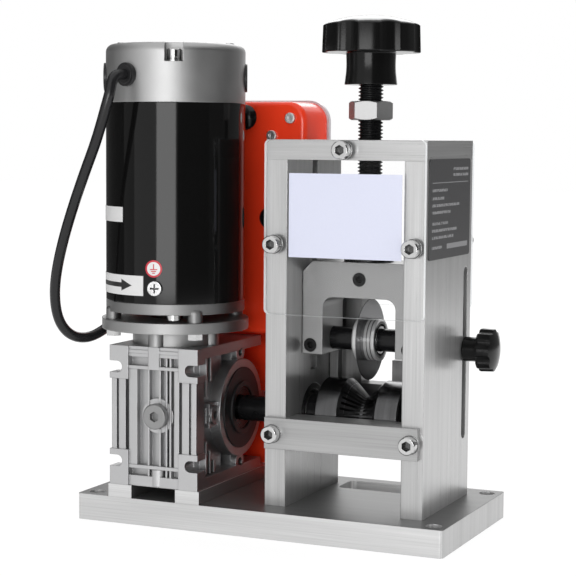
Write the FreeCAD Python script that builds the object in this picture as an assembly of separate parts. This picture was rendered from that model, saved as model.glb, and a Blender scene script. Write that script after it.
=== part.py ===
import FreeCAD, Part
import math
import os
from FreeCAD import Vector

# Electric wire stripping machine. Millimetres, +Z up, X to the right, Y to the back.
# The origin is the centre of the base plate's underside.

# Base plate
base_length = 222.0
base_depth = 112.0
base_thickness = 15.0
base_corner = 2.0
mount_hole_diameter = 9.0
mount_inset_x = 8.0
mount_inset_y = 9.0
cutout_length = 57.0
cutout_depth = 22.5
cutout_corner = 4.0
cutout_back_margin = 9.0

# Frame of two side plates and a top plate
frame_centre_x = 46.4
frame_gap = 68.5
plate_thickness = 12.5
frame_front = -38.0
frame_depth = 78.0
frame_height = 204.5
top_plate_thickness = 11.0
key_groove_width = 8.2
key_groove_depth = 3.2
key_groove_start = 73.0
slot_width = 7.4
slot_from_back = 9.3
slot_bottom = 34.3
slot_top = 133.1

# Rails under the worm gearbox
rail_width = 15.0
rail_height = 7.5
rail_length = 97.0
rail_spacing = 43.0

# Worm gearbox
gearbox_centre_x = -61.7
gearbox_width = 56.0
gearbox_core_width = 42.0
gearbox_height = 80.0
gearbox_wall = 6.0
foot_plate_depth = 84.0
front_to_worm = 27.0
centre_distance = 30.0
drum_radius = 28.5
web_half_width = 15.0
cover_flange_radius = 36.5
ear_width = 12.0
ear_height = 19.0
ear_depth = 10.0
foot_pitch = 54.0
foot_slot_width = 6.5
foot_slot_depth = 8.0
wheel_cavity_radius = 26.0
wheel_cavity_half_width = 10.0
lug_circle_radius = 32.5
lug_radius = 5.5
lug_hole_radius = 2.5
plug_radius = 5.0
plug_head_radius = 7.2
plug_rise = 0.9
panel_left = -10.7
panel_right = 12.8
column_groove_depth = 2.4
drain_boss_radius = 4.8
drain_boss_height = 10.0

# Worm pair: one start, thirty teeth
wheel_teeth = 30
worm_module = 1.44
worm_pitch_radius = 8.4
wheel_width = 14.0
tooth_backlash = 0.5
worm_turns = 6.5
worm_journal_length = 24.0

# Bearings: outer radius, inner radius, width
hub_bearing = (23.5, 12.5, 8.0)
worm_low_bearing = (14.0, 6.0, 8.0)
worm_high_bearing = (16.0, 7.5, 9.0)
motor_bearing = (11.0, 4.5, 7.0)
shaft_bearing = (17.5, 7.5, 11.0)
blade_bearing = (10.5, 6.5, 6.0)
ball_count = 8
running_gap = 0.05

# Drive shaft and feed roller
shaft_radius = 7.5
hub_bore_radius = 7.0
hub_radius = 12.5
roller_radius = 21.5
roller_length = 50.0
groove_half_width = 11.5
groove_depth = 9.5
groove_teeth = 36
groove_tooth_width = 1.3
collar_radius = 11.0
face_gap = 0.3

# Motor
motor_radius = 39.6
motor_wall = 3.0
input_flange_radius = 42.0
input_flange_thickness = 6.0
input_flange_height = 55.0
input_neck_radius = 24.0
motor_gap = 4.5
lower_cap_height = 6.0
motor_tube_length = 111.5
top_cap_height = 32.8
cap_edge_radius = 4.5
cap_wall = 3.5
lug_angle = -45.0
bolt_angle = -64.0
grommet_angle = -105.0
grommet_radius = 6.5
grommet_height = 15.0
grommet_rise = 2.4
brush_cap_radius = 8.0
brush_cap_rise = 1.0
brush_height = 14.5
motor_foot_radius = 4.3
motor_foot_inset = 3.0
motor_foot_rise = 2.6
motor_foot_round = 1.6
motor_bolt_depth = 1.8
through_nut_radius = 4.0
through_nut_height = 3.2
notch_depth = 10.6
earth_screw_height = 9.0
earth_screw_angle = -78.5
rating_label_low = 45.0
rating_label_height = 8.4
rating_label_angles = (-160.0, -110.0)
arrow_label_low = 4.5
arrow_label_height = 11.1
arrow_label_angles = (-162.0, -89.0)
earth_mark_height = 19.8
earth_mark_radius = 4.8
earth_mark_angle = -80.0
magnet_thickness = 6.0
rotor_radius = 28.5
rotor_length = 56.0
commutator_radius = 13.0

# Clear guards, label, wire rest and nameplate
guard_thickness = 3.0
guard_gap = 0.06
guard_height = 96.5
guard_corner = 3.0
label_width = 65.8
label_height = 46.0
label_top = 18.3
sheet_thickness = 0.3
rest_thickness = 3.5
rest_inset = 1.0
rest_length = 90.4
rest_height = 17.5
rest_top = 50.3
rest_ledge = 15.0
nameplate_height = 54.2
nameplate_width = 69.0
nameplate_thickness = 0.8
nameplate_corner = 2.0

# Socket cap screws of size M6, washers and M6 frame screws. A socket is half its hexagon's flat width
cap_head_radius = 4.9
cap_head_height = 5.4
cap_shank_radius = 3.0
cap_shank_length = 10.0
cap_socket = 2.5
washer_radius = 5.3
washer_thickness = 0.8
head_edge = 0.5
frame_screw_radius = 3.0
frame_head_radius = 5.0
frame_head_height = 6.0
screw_clearance = 0.05

# Carriage, blade and arbor
carriage_depth = 30.0
carriage_front = -16.0
carriage_bottom = 84.0
carriage_height = 52.6
carriage_side_gap = 0.25
carriage_leg = 12.2
carriage_bridge = 20.0
carriage_corner = 6.0
carriage_chamfer = 6.0
tongue_gap = 0.2
arbor_height = 92.0
arbor_radius = 6.5
blade_radius = 23.0
blade_thickness = 1.6
blade_bevel = 1.1
blade_hub_left = 5.5
blade_hub_right = 6.2
blade_hub_radius = 12.8
set_screw_radius = 3.9

# Pressure screw, lock nut and star knob
screw_radius = 7.0
screw_pitch = 2.0
thread_depth = 1.1
thrust_disc_radius = 14.0
thrust_disc_thickness = 3.0
pin_radius = 5.0
pin_length = 14.0
pin_neck_depth = 1.0
nut_flat = 22.0
nut_height = 10.6
nut_base = 215.5
nut_angle = 6.5
knob_radius = 27.6
knob_lobes = 7
knob_turn = -20.5
knob_base = 252.9
knob_rim_height = 15.6
knob_dome_height = 5.1
knob_hub_radius = 14.6
knob_hub_height = 17.8
lobe_scoop_radius = 9.5
lobe_scoop_depth = 3.0

# Rear wire guide and its lock knob
guide_gap = 0.3
guide_blade_gap = 0.7
guide_depth = 13.0
guide_bottom = 50.0
guide_floor = 13.0
guide_arm_width = 20.0
guide_arm_height = 70.0
guide_arm_groove = 4.8
guide_arm_land = 5.3
guide_groove_depth = 6.0
guide_post_width = 28.8
guide_post_height = 27.5
clamp_block_width = 14.0
clamp_block_height = 46.0
stud_height = 86.0
stud_radius = 3.4
side_stem_radius = 7.0
side_stem_length = 9.1
side_knob_radius = 12.3
side_knob_length = 10.6
side_knob_lobes = 8
side_scoop_radius = 4.0
side_scoop_depth = 1.3

# Control box
box_left = -116.0
box_right = -2.2
box_front = 20.0
box_back = 52.0
box_height = 226.4
box_step_height = 89.0
box_step_front = 41.4
box_wall = 2.5
box_corner = 11.5
box_edge = 3.0
lower_left = -104.0
lower_right_inset = 4.6
back_plate_thickness = 3.0
back_plate_margin = 1.3
button_from_right = 37.7
button_from_top = 9.2
button_radius = 7.4
button_travel = 2.5
bush_from_right = 22.1
bush_from_top = 68.2
bush_radius = 6.4
box_screw_inset = 9.6
box_screw_radius = 3.2
low_screw_rise = 26.0
inner_screw_from_right = 21.4
inner_screw_from_top = 19.9
gland_from_left = 10.0
gland_from_step = 13.5
gland_radius = 6.5
gland_length = 8.0

# Circuit board inside the control box
board_inset = 14.0
board_from_back = 9.0
board_thickness = 1.6
board_post_inset = 5.0
capacitor_radius = 9.0
capacitor_length = 16.0
capacitor_pitch = 22.0
capacitor_inset = 20.0
capacitor_rise = 30.0

# Cable from the motor to the control box: the points between its two straight ends
cable_radius = 3.0
cable_start_run = 6.25
cable_end_run = 14.6
cable_end_gap = 0.4
cable_route = [
    (-74.7, -79.3, 250.4),
    (-74.9, -80.9, 244.3),
    (-77.0, -81.2, 237.4),
    (-80.2, -80.6, 228.3),
    (-85.2, -79.4, 216.0),
    (-92.7, -77.2, 201.5),
    (-102.2, -74.0, 182.4),
    (-111.4, -70.4, 161.9),
    (-118.7, -66.4, 142.2),
    (-122.4, -62.0, 126.8),
    (-122.8, -56.6, 113.8),
    (-119.4, -49.8, 105.4),
    (-113.8, -41.5, 103.2),
    (-110.1, -31.5, 105.8),
    (-108.0, -18.0, 111.6),
]

# Places worked out from the sizes above
base_top = base_thickness
frame_back = frame_front + frame_depth
axis_y = frame_front + frame_depth / 2
gap_left = frame_centre_x - frame_gap / 2
gap_right = frame_centre_x + frame_gap / 2
frame_left = gap_left - plate_thickness
frame_right = gap_right + plate_thickness
frame_top = base_top + frame_height
side_plate_top = frame_top - top_plate_thickness
base_right = base_length / 2
base_back = base_depth / 2

gear_bottom = base_top + rail_height
gear_top = gear_bottom + gearbox_height
axis_z = gear_bottom + gearbox_height / 2
worm_y = axis_y - centre_distance
gear_front = worm_y - front_to_worm
gear_left = gearbox_centre_x - gearbox_width / 2
gear_right = gearbox_centre_x + gearbox_width / 2
core_left = gearbox_centre_x - gearbox_core_width / 2
core_right = gearbox_centre_x + gearbox_core_width / 2
wheel_pitch_radius = centre_distance - worm_pitch_radius
thread_lead = math.pi * worm_module
wheel_tip_radius = wheel_pitch_radius + worm_module
wheel_root_radius = wheel_pitch_radius - 1.25 * worm_module
worm_tip_radius = worm_pitch_radius + worm_module
worm_root_radius = worm_pitch_radius - 1.25 * worm_module

flange_top = axis_z + input_flange_height
flange_bottom = flange_top - input_flange_thickness
lower_cap_bottom = flange_top + motor_gap
tube_bottom = lower_cap_bottom + lower_cap_height
tube_top = tube_bottom + motor_tube_length
cap_top = tube_top + top_cap_height
motor_x = gearbox_centre_x

rest_z_top = base_top + rest_top
rest_z_bottom = rest_z_top - rest_height
guard_bottom = frame_top - guard_height
guard_face = frame_front - guard_thickness

groove_y = axis_y
carriage_z = base_top + carriage_bottom
carriage_top = carriage_z + carriage_height
carriage_back = carriage_front + carriage_depth
carriage_left = gap_left + carriage_side_gap
carriage_right = gap_right - carriage_side_gap
arbor_z = base_top + arbor_height
blade_right_face = frame_centre_x + blade_thickness / 2
blade_left_face = frame_centre_x - blade_thickness / 2
roller_left = frame_centre_x - roller_length / 2
roller_right = frame_centre_x + roller_length / 2
pin_bottom = carriage_top - pin_length
disc_top = carriage_top + thrust_disc_thickness
screw_y = carriage_front + carriage_depth / 2
nut_z = base_top + nut_base
knob_z = base_top + knob_base
knob_hub_z = knob_z - knob_hub_height
slot_y = frame_back - slot_from_back
stud_z = base_top + stud_height
guide_front = axis_y + max(roller_radius, blade_radius) + guide_blade_gap
box_top = base_top + box_height
box_step_z = base_top + box_step_height
lower_right = box_right - lower_right_inset
box_foot_y = (box_step_front + box_wall + box_back) / 2
button_place = (box_right - button_from_right, box_top - button_from_top)
bush_place = (box_right - bush_from_right, box_top - bush_from_top)
inner_screw_place = (box_right - inner_screw_from_right, box_top - inner_screw_from_top)
gland_place = (box_left + gland_from_left, box_step_z + gland_from_step)


def box(x0, x1, y0, y1, z0, z1):
    """A block between two corners."""
    return Part.makeBox(x1 - x0, y1 - y0, z1 - z0, Vector(x0, y0, z0))


def x_rod(x0, x1, y, z, radius):
    """A round bar along X."""
    return Part.makeCylinder(radius, x1 - x0, Vector(x0, y, z), Vector(1, 0, 0))


def y_rod(x, z, y0, y1, radius):
    """A round bar along Y."""
    return Part.makeCylinder(radius, y1 - y0, Vector(x, y0, z), Vector(0, 1, 0))


def z_rod(x, y, z0, z1, radius):
    """A round bar along Z."""
    return Part.makeCylinder(radius, z1 - z0, Vector(x, y, z0), Vector(0, 0, 1))


def z_tube(x, y, z0, z1, outer, inner):
    """A tube along Z."""
    return z_rod(x, y, z0, z1, outer).cut(z_rod(x, y, z0, z1, inner))


def x_tube(x0, x1, y, z, outer, inner):
    """A tube along X."""
    return x_rod(x0, x1, y, z, outer).cut(x_rod(x0, x1, y, z, inner))


def join(shapes):
    """One solid of several that overlap or touch."""
    return shapes[0].multiFuse(shapes[1:]).removeSplitter()


def cut_all(shape, tools):
    """The shape less every tool."""
    return shape.cut(tools)


def group(shapes):
    """Separate solids kept in one file."""
    return Part.makeCompound(shapes)


def round_edges(shape, radius, chosen):
    """Round the edges that a test picks by their ends."""
    edges = [edge for edge in shape.Edges if chosen(edge)]
    return shape.makeFillet(radius, edges)


def bevel_edges(shape, width, chosen):
    """Chamfer the edges that a test picks by their ends."""
    edges = [edge for edge in shape.Edges if chosen(edge)]
    return shape.makeChamfer(width, edges)


def runs_along(edge, axis):
    """True for a straight edge along one axis."""
    if len(edge.Vertexes) != 2 or not isinstance(edge.Curve, (Part.Line, Part.LineSegment)):
        return False
    line = edge.Vertexes[1].Point - edge.Vertexes[0].Point
    return abs(line.normalize().dot(axis)) > 0.999


def around(x, y, radius, degrees, z):
    """A point at an angle round a vertical axis."""
    turn = math.radians(degrees)
    return Vector(x + radius * math.cos(turn), y + radius * math.sin(turn), z)


def turned(shape, centre, axis, degrees):
    """A copy turned about an axis through a point."""
    copy = shape.copy()
    copy.rotate(centre, axis, degrees)
    return copy


def hexagon(centre, axis_name, flat, height, degrees=0.0):
    """A hexagonal prism from its base centre, along X, Y or Z."""
    corner = flat / math.sqrt(3)
    points = []
    for step in range(7):
        turn = math.radians(60 * step + degrees)
        points.append(Vector(corner * math.cos(turn), corner * math.sin(turn), 0))
    prism = Part.Face(Part.makePolygon(points)).extrude(Vector(0, 0, height))
    if axis_name == "X":
        prism.rotate(Vector(), Vector(0, 1, 0), 90)
    if axis_name == "Y":
        prism.rotate(Vector(), Vector(1, 0, 0), -90)
    prism.translate(centre)
    return prism


def spun(profile, centre, axis):
    """A solid of revolution from a list of radius and height pairs."""
    points = [Vector(radius, 0, height) for radius, height in profile]
    points.append(points[0])
    solid = Part.Face(Part.makePolygon(points)).revolve(Vector(), Vector(0, 0, 1), 360)
    if axis == "X":
        solid.rotate(Vector(), Vector(0, 1, 0), 90)
    if axis == "Y":
        solid.rotate(Vector(), Vector(1, 0, 0), -90)
    solid.translate(centre)
    return solid


def socket_mouth(floor, direction, socket, depth):
    """A hexagonal prism from a socket's floor to its mouth."""
    across = direction.cross(Vector(1, 0, 0))
    upright = direction.cross(across)
    corner = socket * 2 / math.sqrt(3)
    points = []
    for step in range(7):
        turn = math.radians(60 * step)
        points.append(floor + across * (corner * math.cos(turn)) + upright * (corner * math.sin(turn)))
    return Part.Face(Part.makePolygon(points)).extrude(direction * depth)


def cap_screw(seat, direction, head_radius, head_height, shank_radius, shank_length, socket):
    """A socket head screw. The seat is under its head and the direction points out of the work."""
    rim = seat + direction * head_height
    head = Part.makeCylinder(head_radius, head_height, seat, direction)
    head = head.makeChamfer(min(head_edge, head_height / 6),
                            [edge for edge in head.Edges if len(edge.Vertexes) == 1
                             and (edge.CenterOfMass - rim).Length < 0.01])
    shank = Part.makeCylinder(shank_radius, shank_length, seat - direction * shank_length, direction)
    mouth = socket_mouth(seat + direction * (head_height * 0.4), direction, socket, head_height * 0.6)
    return join([head, shank]).cut(mouth)


def bearing_races(centre, axis, size):
    """Outer race with its balls, and the inner race, from the bearing's first face."""
    outer, inner, width = size
    middle = (outer + inner) / 2
    ball = (outer - inner) * 0.24
    land = ball * 0.62
    groove = Part.makeTorus(middle, ball + running_gap, centre + axis * (width / 2), axis)

    def ring(r1, r2):
        return Part.makeCylinder(r1, width, centre, axis).cut(Part.makeCylinder(r2, width, centre, axis))

    outer_race = ring(outer, middle + land).cut(groove)
    inner_race = ring(middle - land, inner).cut(groove)
    side = Vector(0, 0, 1) if abs(axis.x) > 0.5 else Vector(1, 0, 0)
    balls = []
    for count in range(ball_count):
        place = centre + axis * (width / 2) + side * middle
        sphere = Part.makeSphere(ball, place)
        balls.append(turned(sphere, centre, axis, 360.0 * count / ball_count))
    return [outer_race] + balls, inner_race


def mount_places():
    """Centres of the four mounting holes."""
    x = base_right - mount_inset_x
    y = base_back - mount_inset_y
    return [(sx * x, sy * y) for sx in (-1, 1) for sy in (-1, 1)]


def plate_middles():
    """X of the middle of each side plate."""
    return [frame_left + plate_thickness / 2, frame_right - plate_thickness / 2]


def frame_screw_places():
    """X and Y of the screws that hold the side plates, shared by base and top plate."""
    ys = (frame_front + 14.0, frame_back - 14.0)
    return [(x, y) for x in plate_middles() for y in ys]


def rail_middles():
    """X of the middle of each rail."""
    return [gearbox_centre_x - rail_spacing / 2, gearbox_centre_x + rail_spacing / 2]


def rail_screw_places():
    """X and Y of the screws through base and rails into the gearbox."""
    ys = (gear_front + 16.0, gear_front + foot_plate_depth - 16.0)
    return [(x, y) for x in rail_middles() for y in ys]


def base_plate():
    """Thick plate with mounting holes, a scrap cutout and counterbores underneath."""
    plate = box(-base_right, base_right, -base_back, base_back, 0, base_top)
    plate = round_edges(plate, base_corner, lambda edge: runs_along(edge, Vector(0, 0, 1)))
    tools = [z_rod(x, y, 0, base_top, mount_hole_diameter / 2) for x, y in mount_places()]
    y1 = base_back - cutout_back_margin
    y0 = y1 - cutout_depth
    x0 = frame_centre_x - cutout_length / 2
    x1 = frame_centre_x + cutout_length / 2
    window = box(x0, x1, y0, y1, 0, base_top)
    tools.append(round_edges(window, cutout_corner, lambda edge: runs_along(edge, Vector(0, 0, 1))))
    for x, y in frame_screw_places() + rail_screw_places():
        tools.append(z_rod(x, y, 0, base_top, frame_screw_radius + screw_clearance))
        tools.append(z_rod(x, y, 0, frame_head_height + 1.0, frame_head_radius + 0.5))
    return cut_all(plate, tools)


def gearbox_rails():
    """Two flat bars that lift the gearbox off the base."""
    rails = []
    for x in rail_middles():
        bar = box(x - rail_width / 2, x + rail_width / 2, gear_front, gear_front + rail_length, base_top,
                  gear_bottom)
        holes = []
        for sx, sy in rail_screw_places():
            if abs(sx - x) < rail_width:
                holes.append(z_rod(sx, sy, base_top, gear_bottom, frame_screw_radius + screw_clearance))
        rails.append(cut_all(bar, holes))
    return group(rails)


def frame_screws():
    """Screws up through the base into plates and gearbox, and down through the top plate."""
    screws = []
    head_seat = frame_head_height + 1.0
    for x, y in frame_screw_places():
        length = base_top - head_seat + 12.0
        screws.append(cap_screw(Vector(x, y, head_seat), Vector(0, 0, -1), frame_head_radius,
                                frame_head_height, frame_screw_radius, length, 2.5))
        top_seat = frame_top - frame_head_height - 0.5
        length = top_seat - side_plate_top + 12.0
        screws.append(cap_screw(Vector(x, y, top_seat), Vector(0, 0, 1), frame_head_radius,
                                frame_head_height, frame_screw_radius, length, 2.5))
    for x, y in rail_screw_places():
        length = gear_bottom - head_seat + gearbox_wall - 1.0
        screws.append(cap_screw(Vector(x, y, head_seat), Vector(0, 0, -1), frame_head_radius,
                                frame_head_height, frame_screw_radius, length, 2.5))
    return group(screws)


def foot_ear(side, z):
    """A corner ear of the gearbox's front with its slot open to the side."""
    outer = gearbox_centre_x + side * gearbox_width / 2
    inner = outer - side * ear_width
    x0, x1 = min(outer, inner), max(outer, inner)
    if z > axis_z:
        z1 = gear_top
        z0 = gear_top - ear_height
    else:
        z0 = gear_bottom
        z1 = gear_bottom + ear_height + 1.5
    return box(x0, x1, gear_front, gear_front + ear_depth, z0, z1)


def foot_slot(side, z):
    """The slot through an ear."""
    outer = gearbox_centre_x + side * gearbox_width / 2
    middle = outer - side * (foot_slot_depth - foot_slot_width / 2)
    x0, x1 = sorted((middle, outer + side * 2.0))
    half = foot_slot_width / 2
    mouth = box(x0, x1, gear_front, gear_front + ear_depth, z - half, z + half)
    return join([mouth, y_rod(middle, z, gear_front, gear_front + ear_depth, half)])


def front_ribs():
    """Casting ribs and raised panels on the gearbox's front, and the grooved columns between its ears."""
    gx = gearbox_centre_x
    face = gear_front + 0.7
    floor = gear_front + 5.0
    top = gear_top - 1.0
    bottom = gear_bottom + 1.0
    inner = gearbox_width / 2 - ear_width
    ribs = []
    for z in (top - 2.0, top - 11.0, bottom + 10.2):
        ribs.append(box(gx - inner, gx + inner, face, floor, z - 1.0, z + 1.0))
    for offset in (-3.6, 3.6, 7.8, 10.3):
        ribs.append(box(gx + offset - 0.6, gx + offset + 0.6, face + 0.6, floor, bottom + 1.0, top - 1.0))
    for start, end in ((-inner, panel_left), (panel_right, inner)):
        ribs.append(box(gx + start, gx + end, face + 0.4, floor, bottom + 10.5, top - 10.5))
    for side in (-1, 1):
        edge = gx + side * (gearbox_width / 2 - 1.0)
        groove_floor = face + column_groove_depth
        for inset, width, front in ((0.0, 3.2, face), (4.6, 4.4, face), (0.5, 8.0, groove_floor)):
            x0, x1 = sorted((edge - side * inset, edge - side * (inset + width)))
            ribs.append(box(x0, x1, front, gear_front + ear_depth, gear_bottom + ear_height,
                            gear_top - ear_height))
    return ribs


def side_fins():
    """Cooling fins and steps on the gearbox's right flank."""
    fins = []
    for y, low, high in ((-41.0, 29.0, 48.0), (-36.0, 29.0, 42.0), (-31.0, 29.0, 36.0),
                         (-41.0, 74.0, 96.0), (-35.5, 82.0, 96.0)):
        place = axis_y + y
        fins.append(box(core_right - 1.0, gear_right - 2.5, place, place + 1.6, low, high))
    fins.append(box(core_right - 1.0, gear_right - 2.0, worm_y - 8.0, worm_y + 6.0, axis_z - 7.0,
                    axis_z + 7.0))
    return fins


def output_lugs():
    """Screw lugs round the output face, joined to plates and core by blocks."""
    gx = gearbox_centre_x
    lug_end = gear_right - 0.8
    block_end = gear_right - 4.0
    start = gx + web_half_width - 1.0
    half = lug_radius
    high = axis_z + drum_radius - 2.0
    low = axis_z - drum_radius + 2.0
    parts = [
        box(start, block_end, axis_y - half, axis_y + half, high, gear_top - 1.0),
        box(start, block_end, axis_y - half, axis_y + half, gear_bottom + 1.0, low),
        box(start, block_end, worm_y - 9.0, axis_y - drum_radius + 2.0, axis_z - half + 1.0,
            axis_z + half - 1.0),
    ]
    for degrees in (0, 90, 180, 270):
        lug = x_rod(start, lug_end, axis_y, axis_z + lug_circle_radius, lug_radius)
        parts.append(turned(lug, Vector(gx, axis_y, axis_z), Vector(1, 0, 0), degrees))
    return parts


def gearbox_housing():
    """Cast worm gearbox housing with front ears, foot plates, drum and ringed output face."""
    gx = gearbox_centre_x
    web_left = gx - web_half_width
    web_right = gx + web_half_width
    foot_back = gear_front + foot_plate_depth
    parts = [
        box(core_left, core_right, gear_front + 5.0, worm_y + 17.0, gear_bottom + 1.0, gear_top - 1.0),
        x_rod(core_left + 4.0, gear_right, axis_y, axis_z, drum_radius),
        x_rod(core_left, core_left + 6.0, axis_y, axis_z, cover_flange_radius),
        box(web_left, web_right, worm_y, axis_y + drum_radius - 3.0, gear_bottom + 1.0, gear_top - 1.0),
        box(gear_left, gear_right, gear_front + 1.0, foot_back, gear_top - gearbox_wall, gear_top),
        box(gear_left, gear_right, gear_front + 1.0, foot_back, gear_bottom, gear_bottom + gearbox_wall),
        box(gx - 3.3, gx + 3.5, gear_front + 0.4, gear_front + 6.0, gear_top - 13.0, gear_top),
        z_rod(gx + 1.4, gear_front + 5.2, gear_bottom + 0.5, gear_bottom + drain_boss_height,
              drain_boss_radius),
        y_rod(plug_x(), plug_z(), gear_front + 2.0, gear_front + 8.0, plug_head_radius + 2.8),
    ]
    slot_low = axis_z - foot_pitch / 2 + 0.8
    slot_high = axis_z + foot_pitch / 2 + 0.8
    slots = []
    for side in (-1, 1):
        for z in (slot_low, slot_high):
            parts.append(foot_ear(side, z))
            slots.append(foot_slot(side, z))
    parts += front_ribs() + side_fins() + output_lugs()
    housing = join(parts)
    tools = list(slots)
    for degrees in (0, 90, 180, 270):
        hole = x_rod(gear_right - 9.0, gear_right, axis_y, axis_z + lug_circle_radius, lug_hole_radius)
        tools.append(turned(hole, Vector(gx, axis_y, axis_z), Vector(1, 0, 0), degrees))
    half = wheel_cavity_half_width
    tools.append(x_rod(gear_left - 1.0, gx + half, axis_y, axis_z, wheel_cavity_radius))
    tools.append(x_rod(gx + half, gx + half + hub_bearing[2], axis_y, axis_z, hub_bearing[0]))
    tools.append(x_rod(gx + half, gear_right + 1.0, axis_y, axis_z, hub_bearing[0] - 1.5))
    tools.append(x_rod(gear_right - 2.0, gear_right + 1.0, axis_y, axis_z, hub_bearing[0] + 0.2))
    low = gear_bottom + 4.5
    tools.append(z_rod(gx, worm_y, low, gear_top + 1.0, worm_tip_radius + 1.5))
    tools.append(z_rod(gx, worm_y, low, low + worm_low_bearing[2], worm_low_bearing[0]))
    tools.append(z_rod(gx, worm_y, gear_top - worm_high_bearing[2] - 2.0, gear_top + 1.0,
                       worm_high_bearing[0]))
    tools.append(y_rod(plug_x(), plug_z(), gear_front, gear_front + 8.0, plug_radius))
    tools.append(y_rod(plug_x(), plug_z(), gear_front, gear_front + 2.0, plug_head_radius + 0.3))
    for x, y in rail_screw_places():
        tools.append(z_rod(x, y, gear_bottom, gear_bottom + gearbox_wall - 1.0,
                           frame_screw_radius + screw_clearance))
    return cut_all(housing, tools)


def plug_x():
    """X of the gearbox's front plug."""
    return gearbox_centre_x + 1.9


def plug_z():
    """Height of the gearbox's front plug."""
    return axis_z + plug_rise


def gearbox_side_cover():
    """Round cover on the left that closes the wheel's cavity and holds a bearing."""
    gx = gearbox_centre_x
    spigot_end = gx - wheel_cavity_half_width
    disc = x_rod(gear_left, core_left, axis_y, axis_z, cover_flange_radius)
    spigot = x_rod(core_left - 1.0, spigot_end, axis_y, axis_z, wheel_cavity_radius)
    bearing_start = spigot_end - hub_bearing[2]
    tools = [
        x_rod(bearing_start, spigot_end, axis_y, axis_z, hub_bearing[0]),
        x_rod(gear_left - 1.0, spigot_end, axis_y, axis_z, hub_bearing[0] - 1.5),
    ]
    foot = box(gear_left - 1.0, core_left + 1.0, axis_y - 40.0, axis_y + 40.0, gear_bottom - 5.0,
               gear_bottom + gearbox_wall)
    head = box(gear_left - 1.0, core_left + 1.0, axis_y - 40.0, axis_y + 40.0, gear_top - gearbox_wall,
               gear_top + 5.0)
    return cut_all(join([disc, spigot]), tools + [foot, head])


def gearbox_seals():
    """A dark seal round the hub on each side, with a raised lip."""
    seat = hub_bearing[0]
    bore = hub_radius + 0.15
    right = x_tube(gear_right - 2.0, gear_right + 0.6, axis_y, axis_z, seat + 0.2, bore)
    lip = x_tube(gear_right + 0.6, gear_right + 1.6, axis_y, axis_z, hub_radius + 3.0, bore)
    left = x_tube(gear_left - 0.4, gear_left + 3.0, axis_y, axis_z, seat - 1.5, bore)
    return group([join([right, lip]), left])


def gearbox_plug():
    """Socket plug screwed into the gearbox's front."""
    seat = Vector(plug_x(), gear_front + 2.0, plug_z())
    return cap_screw(seat, Vector(0, -1, 0), plug_head_radius, 4.6, plug_radius, 5.5, 2.6)


def hub_bearing_starts():
    """First faces of the two bearings beside the wheel."""
    half = wheel_cavity_half_width
    return [gearbox_centre_x - half - hub_bearing[2], gearbox_centre_x + half]


def shaft_bearing_starts():
    """First faces of the bearings in the two side plates."""
    return [gap_left - shaft_bearing[2], gap_right]


def drive_bearings():
    """Outer and inner races of the four bearings along the drive shaft."""
    outers = []
    inners = []
    for x in hub_bearing_starts():
        fixed, moving = bearing_races(Vector(x, axis_y, axis_z), Vector(1, 0, 0), hub_bearing)
        outers += fixed
        inners.append(moving)
    for x in shaft_bearing_starts():
        fixed, moving = bearing_races(Vector(x, axis_y, axis_z), Vector(1, 0, 0), shaft_bearing)
        outers += fixed
        inners.append(moving)
    return group(outers), group(inners)


def worm_bearings():
    """Outer and inner races of the worm's and the motor's bearings."""
    places = [
        (gear_bottom + 4.5, worm_low_bearing),
        (gear_top - worm_high_bearing[2] - 2.0, worm_high_bearing),
        (lower_cap_bottom, motor_bearing),
        (cap_top - cap_wall - 2.0 - motor_bearing[2], motor_bearing),
    ]
    outers = []
    inners = []
    for z, size in places:
        fixed, moving = bearing_races(Vector(motor_x, worm_y, z), Vector(0, 0, 1), size)
        outers += fixed
        inners.append(moving)
    return group(outers), group(inners)


def worm_wheel():
    """Bronze wheel with slanted tooth gaps, in one with its hub."""
    centre = Vector(gearbox_centre_x, axis_y, axis_z)
    half = wheel_width / 2
    blank = x_rod(centre.x - half, centre.x + half, axis_y, axis_z, wheel_tip_radius)
    hub = x_rod(gear_left, gear_right + 1.0, axis_y, axis_z, hub_radius)
    depth = wheel_tip_radius - wheel_root_radius + 0.4
    pitch_gap = thread_lead / 2 + tooth_backlash
    tip_gap = pitch_gap + 1.3
    root_gap = pitch_gap - 1.3
    points = [
        Vector(0, -root_gap / 2, wheel_root_radius),
        Vector(0, root_gap / 2, wheel_root_radius),
        Vector(0, tip_gap / 2, wheel_root_radius + depth),
        Vector(0, -tip_gap / 2, wheel_root_radius + depth),
        Vector(0, -root_gap / 2, wheel_root_radius),
    ]
    gap = Part.Face(Part.makePolygon(points)).extrude(Vector(wheel_width + 6.0, 0, 0))
    gap.translate(Vector(-wheel_width / 2 - 3.0, 0, 0))
    lead_angle = math.degrees(math.atan(thread_lead / (2 * math.pi * worm_pitch_radius)))
    gap.rotate(Vector(), Vector(0, 0, 1), -lead_angle)
    gaps = []
    for tooth in range(wheel_teeth):
        copy = gap.copy()
        copy.rotate(Vector(), Vector(1, 0, 0), 90.0 + 360.0 * tooth / wheel_teeth)
        copy.translate(centre)
        gaps.append(copy)
    wheel = join([blank, hub])
    wheel = cut_all(wheel, gaps)
    return wheel.cut(x_rod(gear_left - 1.0, gear_right + 2.0, axis_y, axis_z, hub_bore_radius + 0.02))


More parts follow.
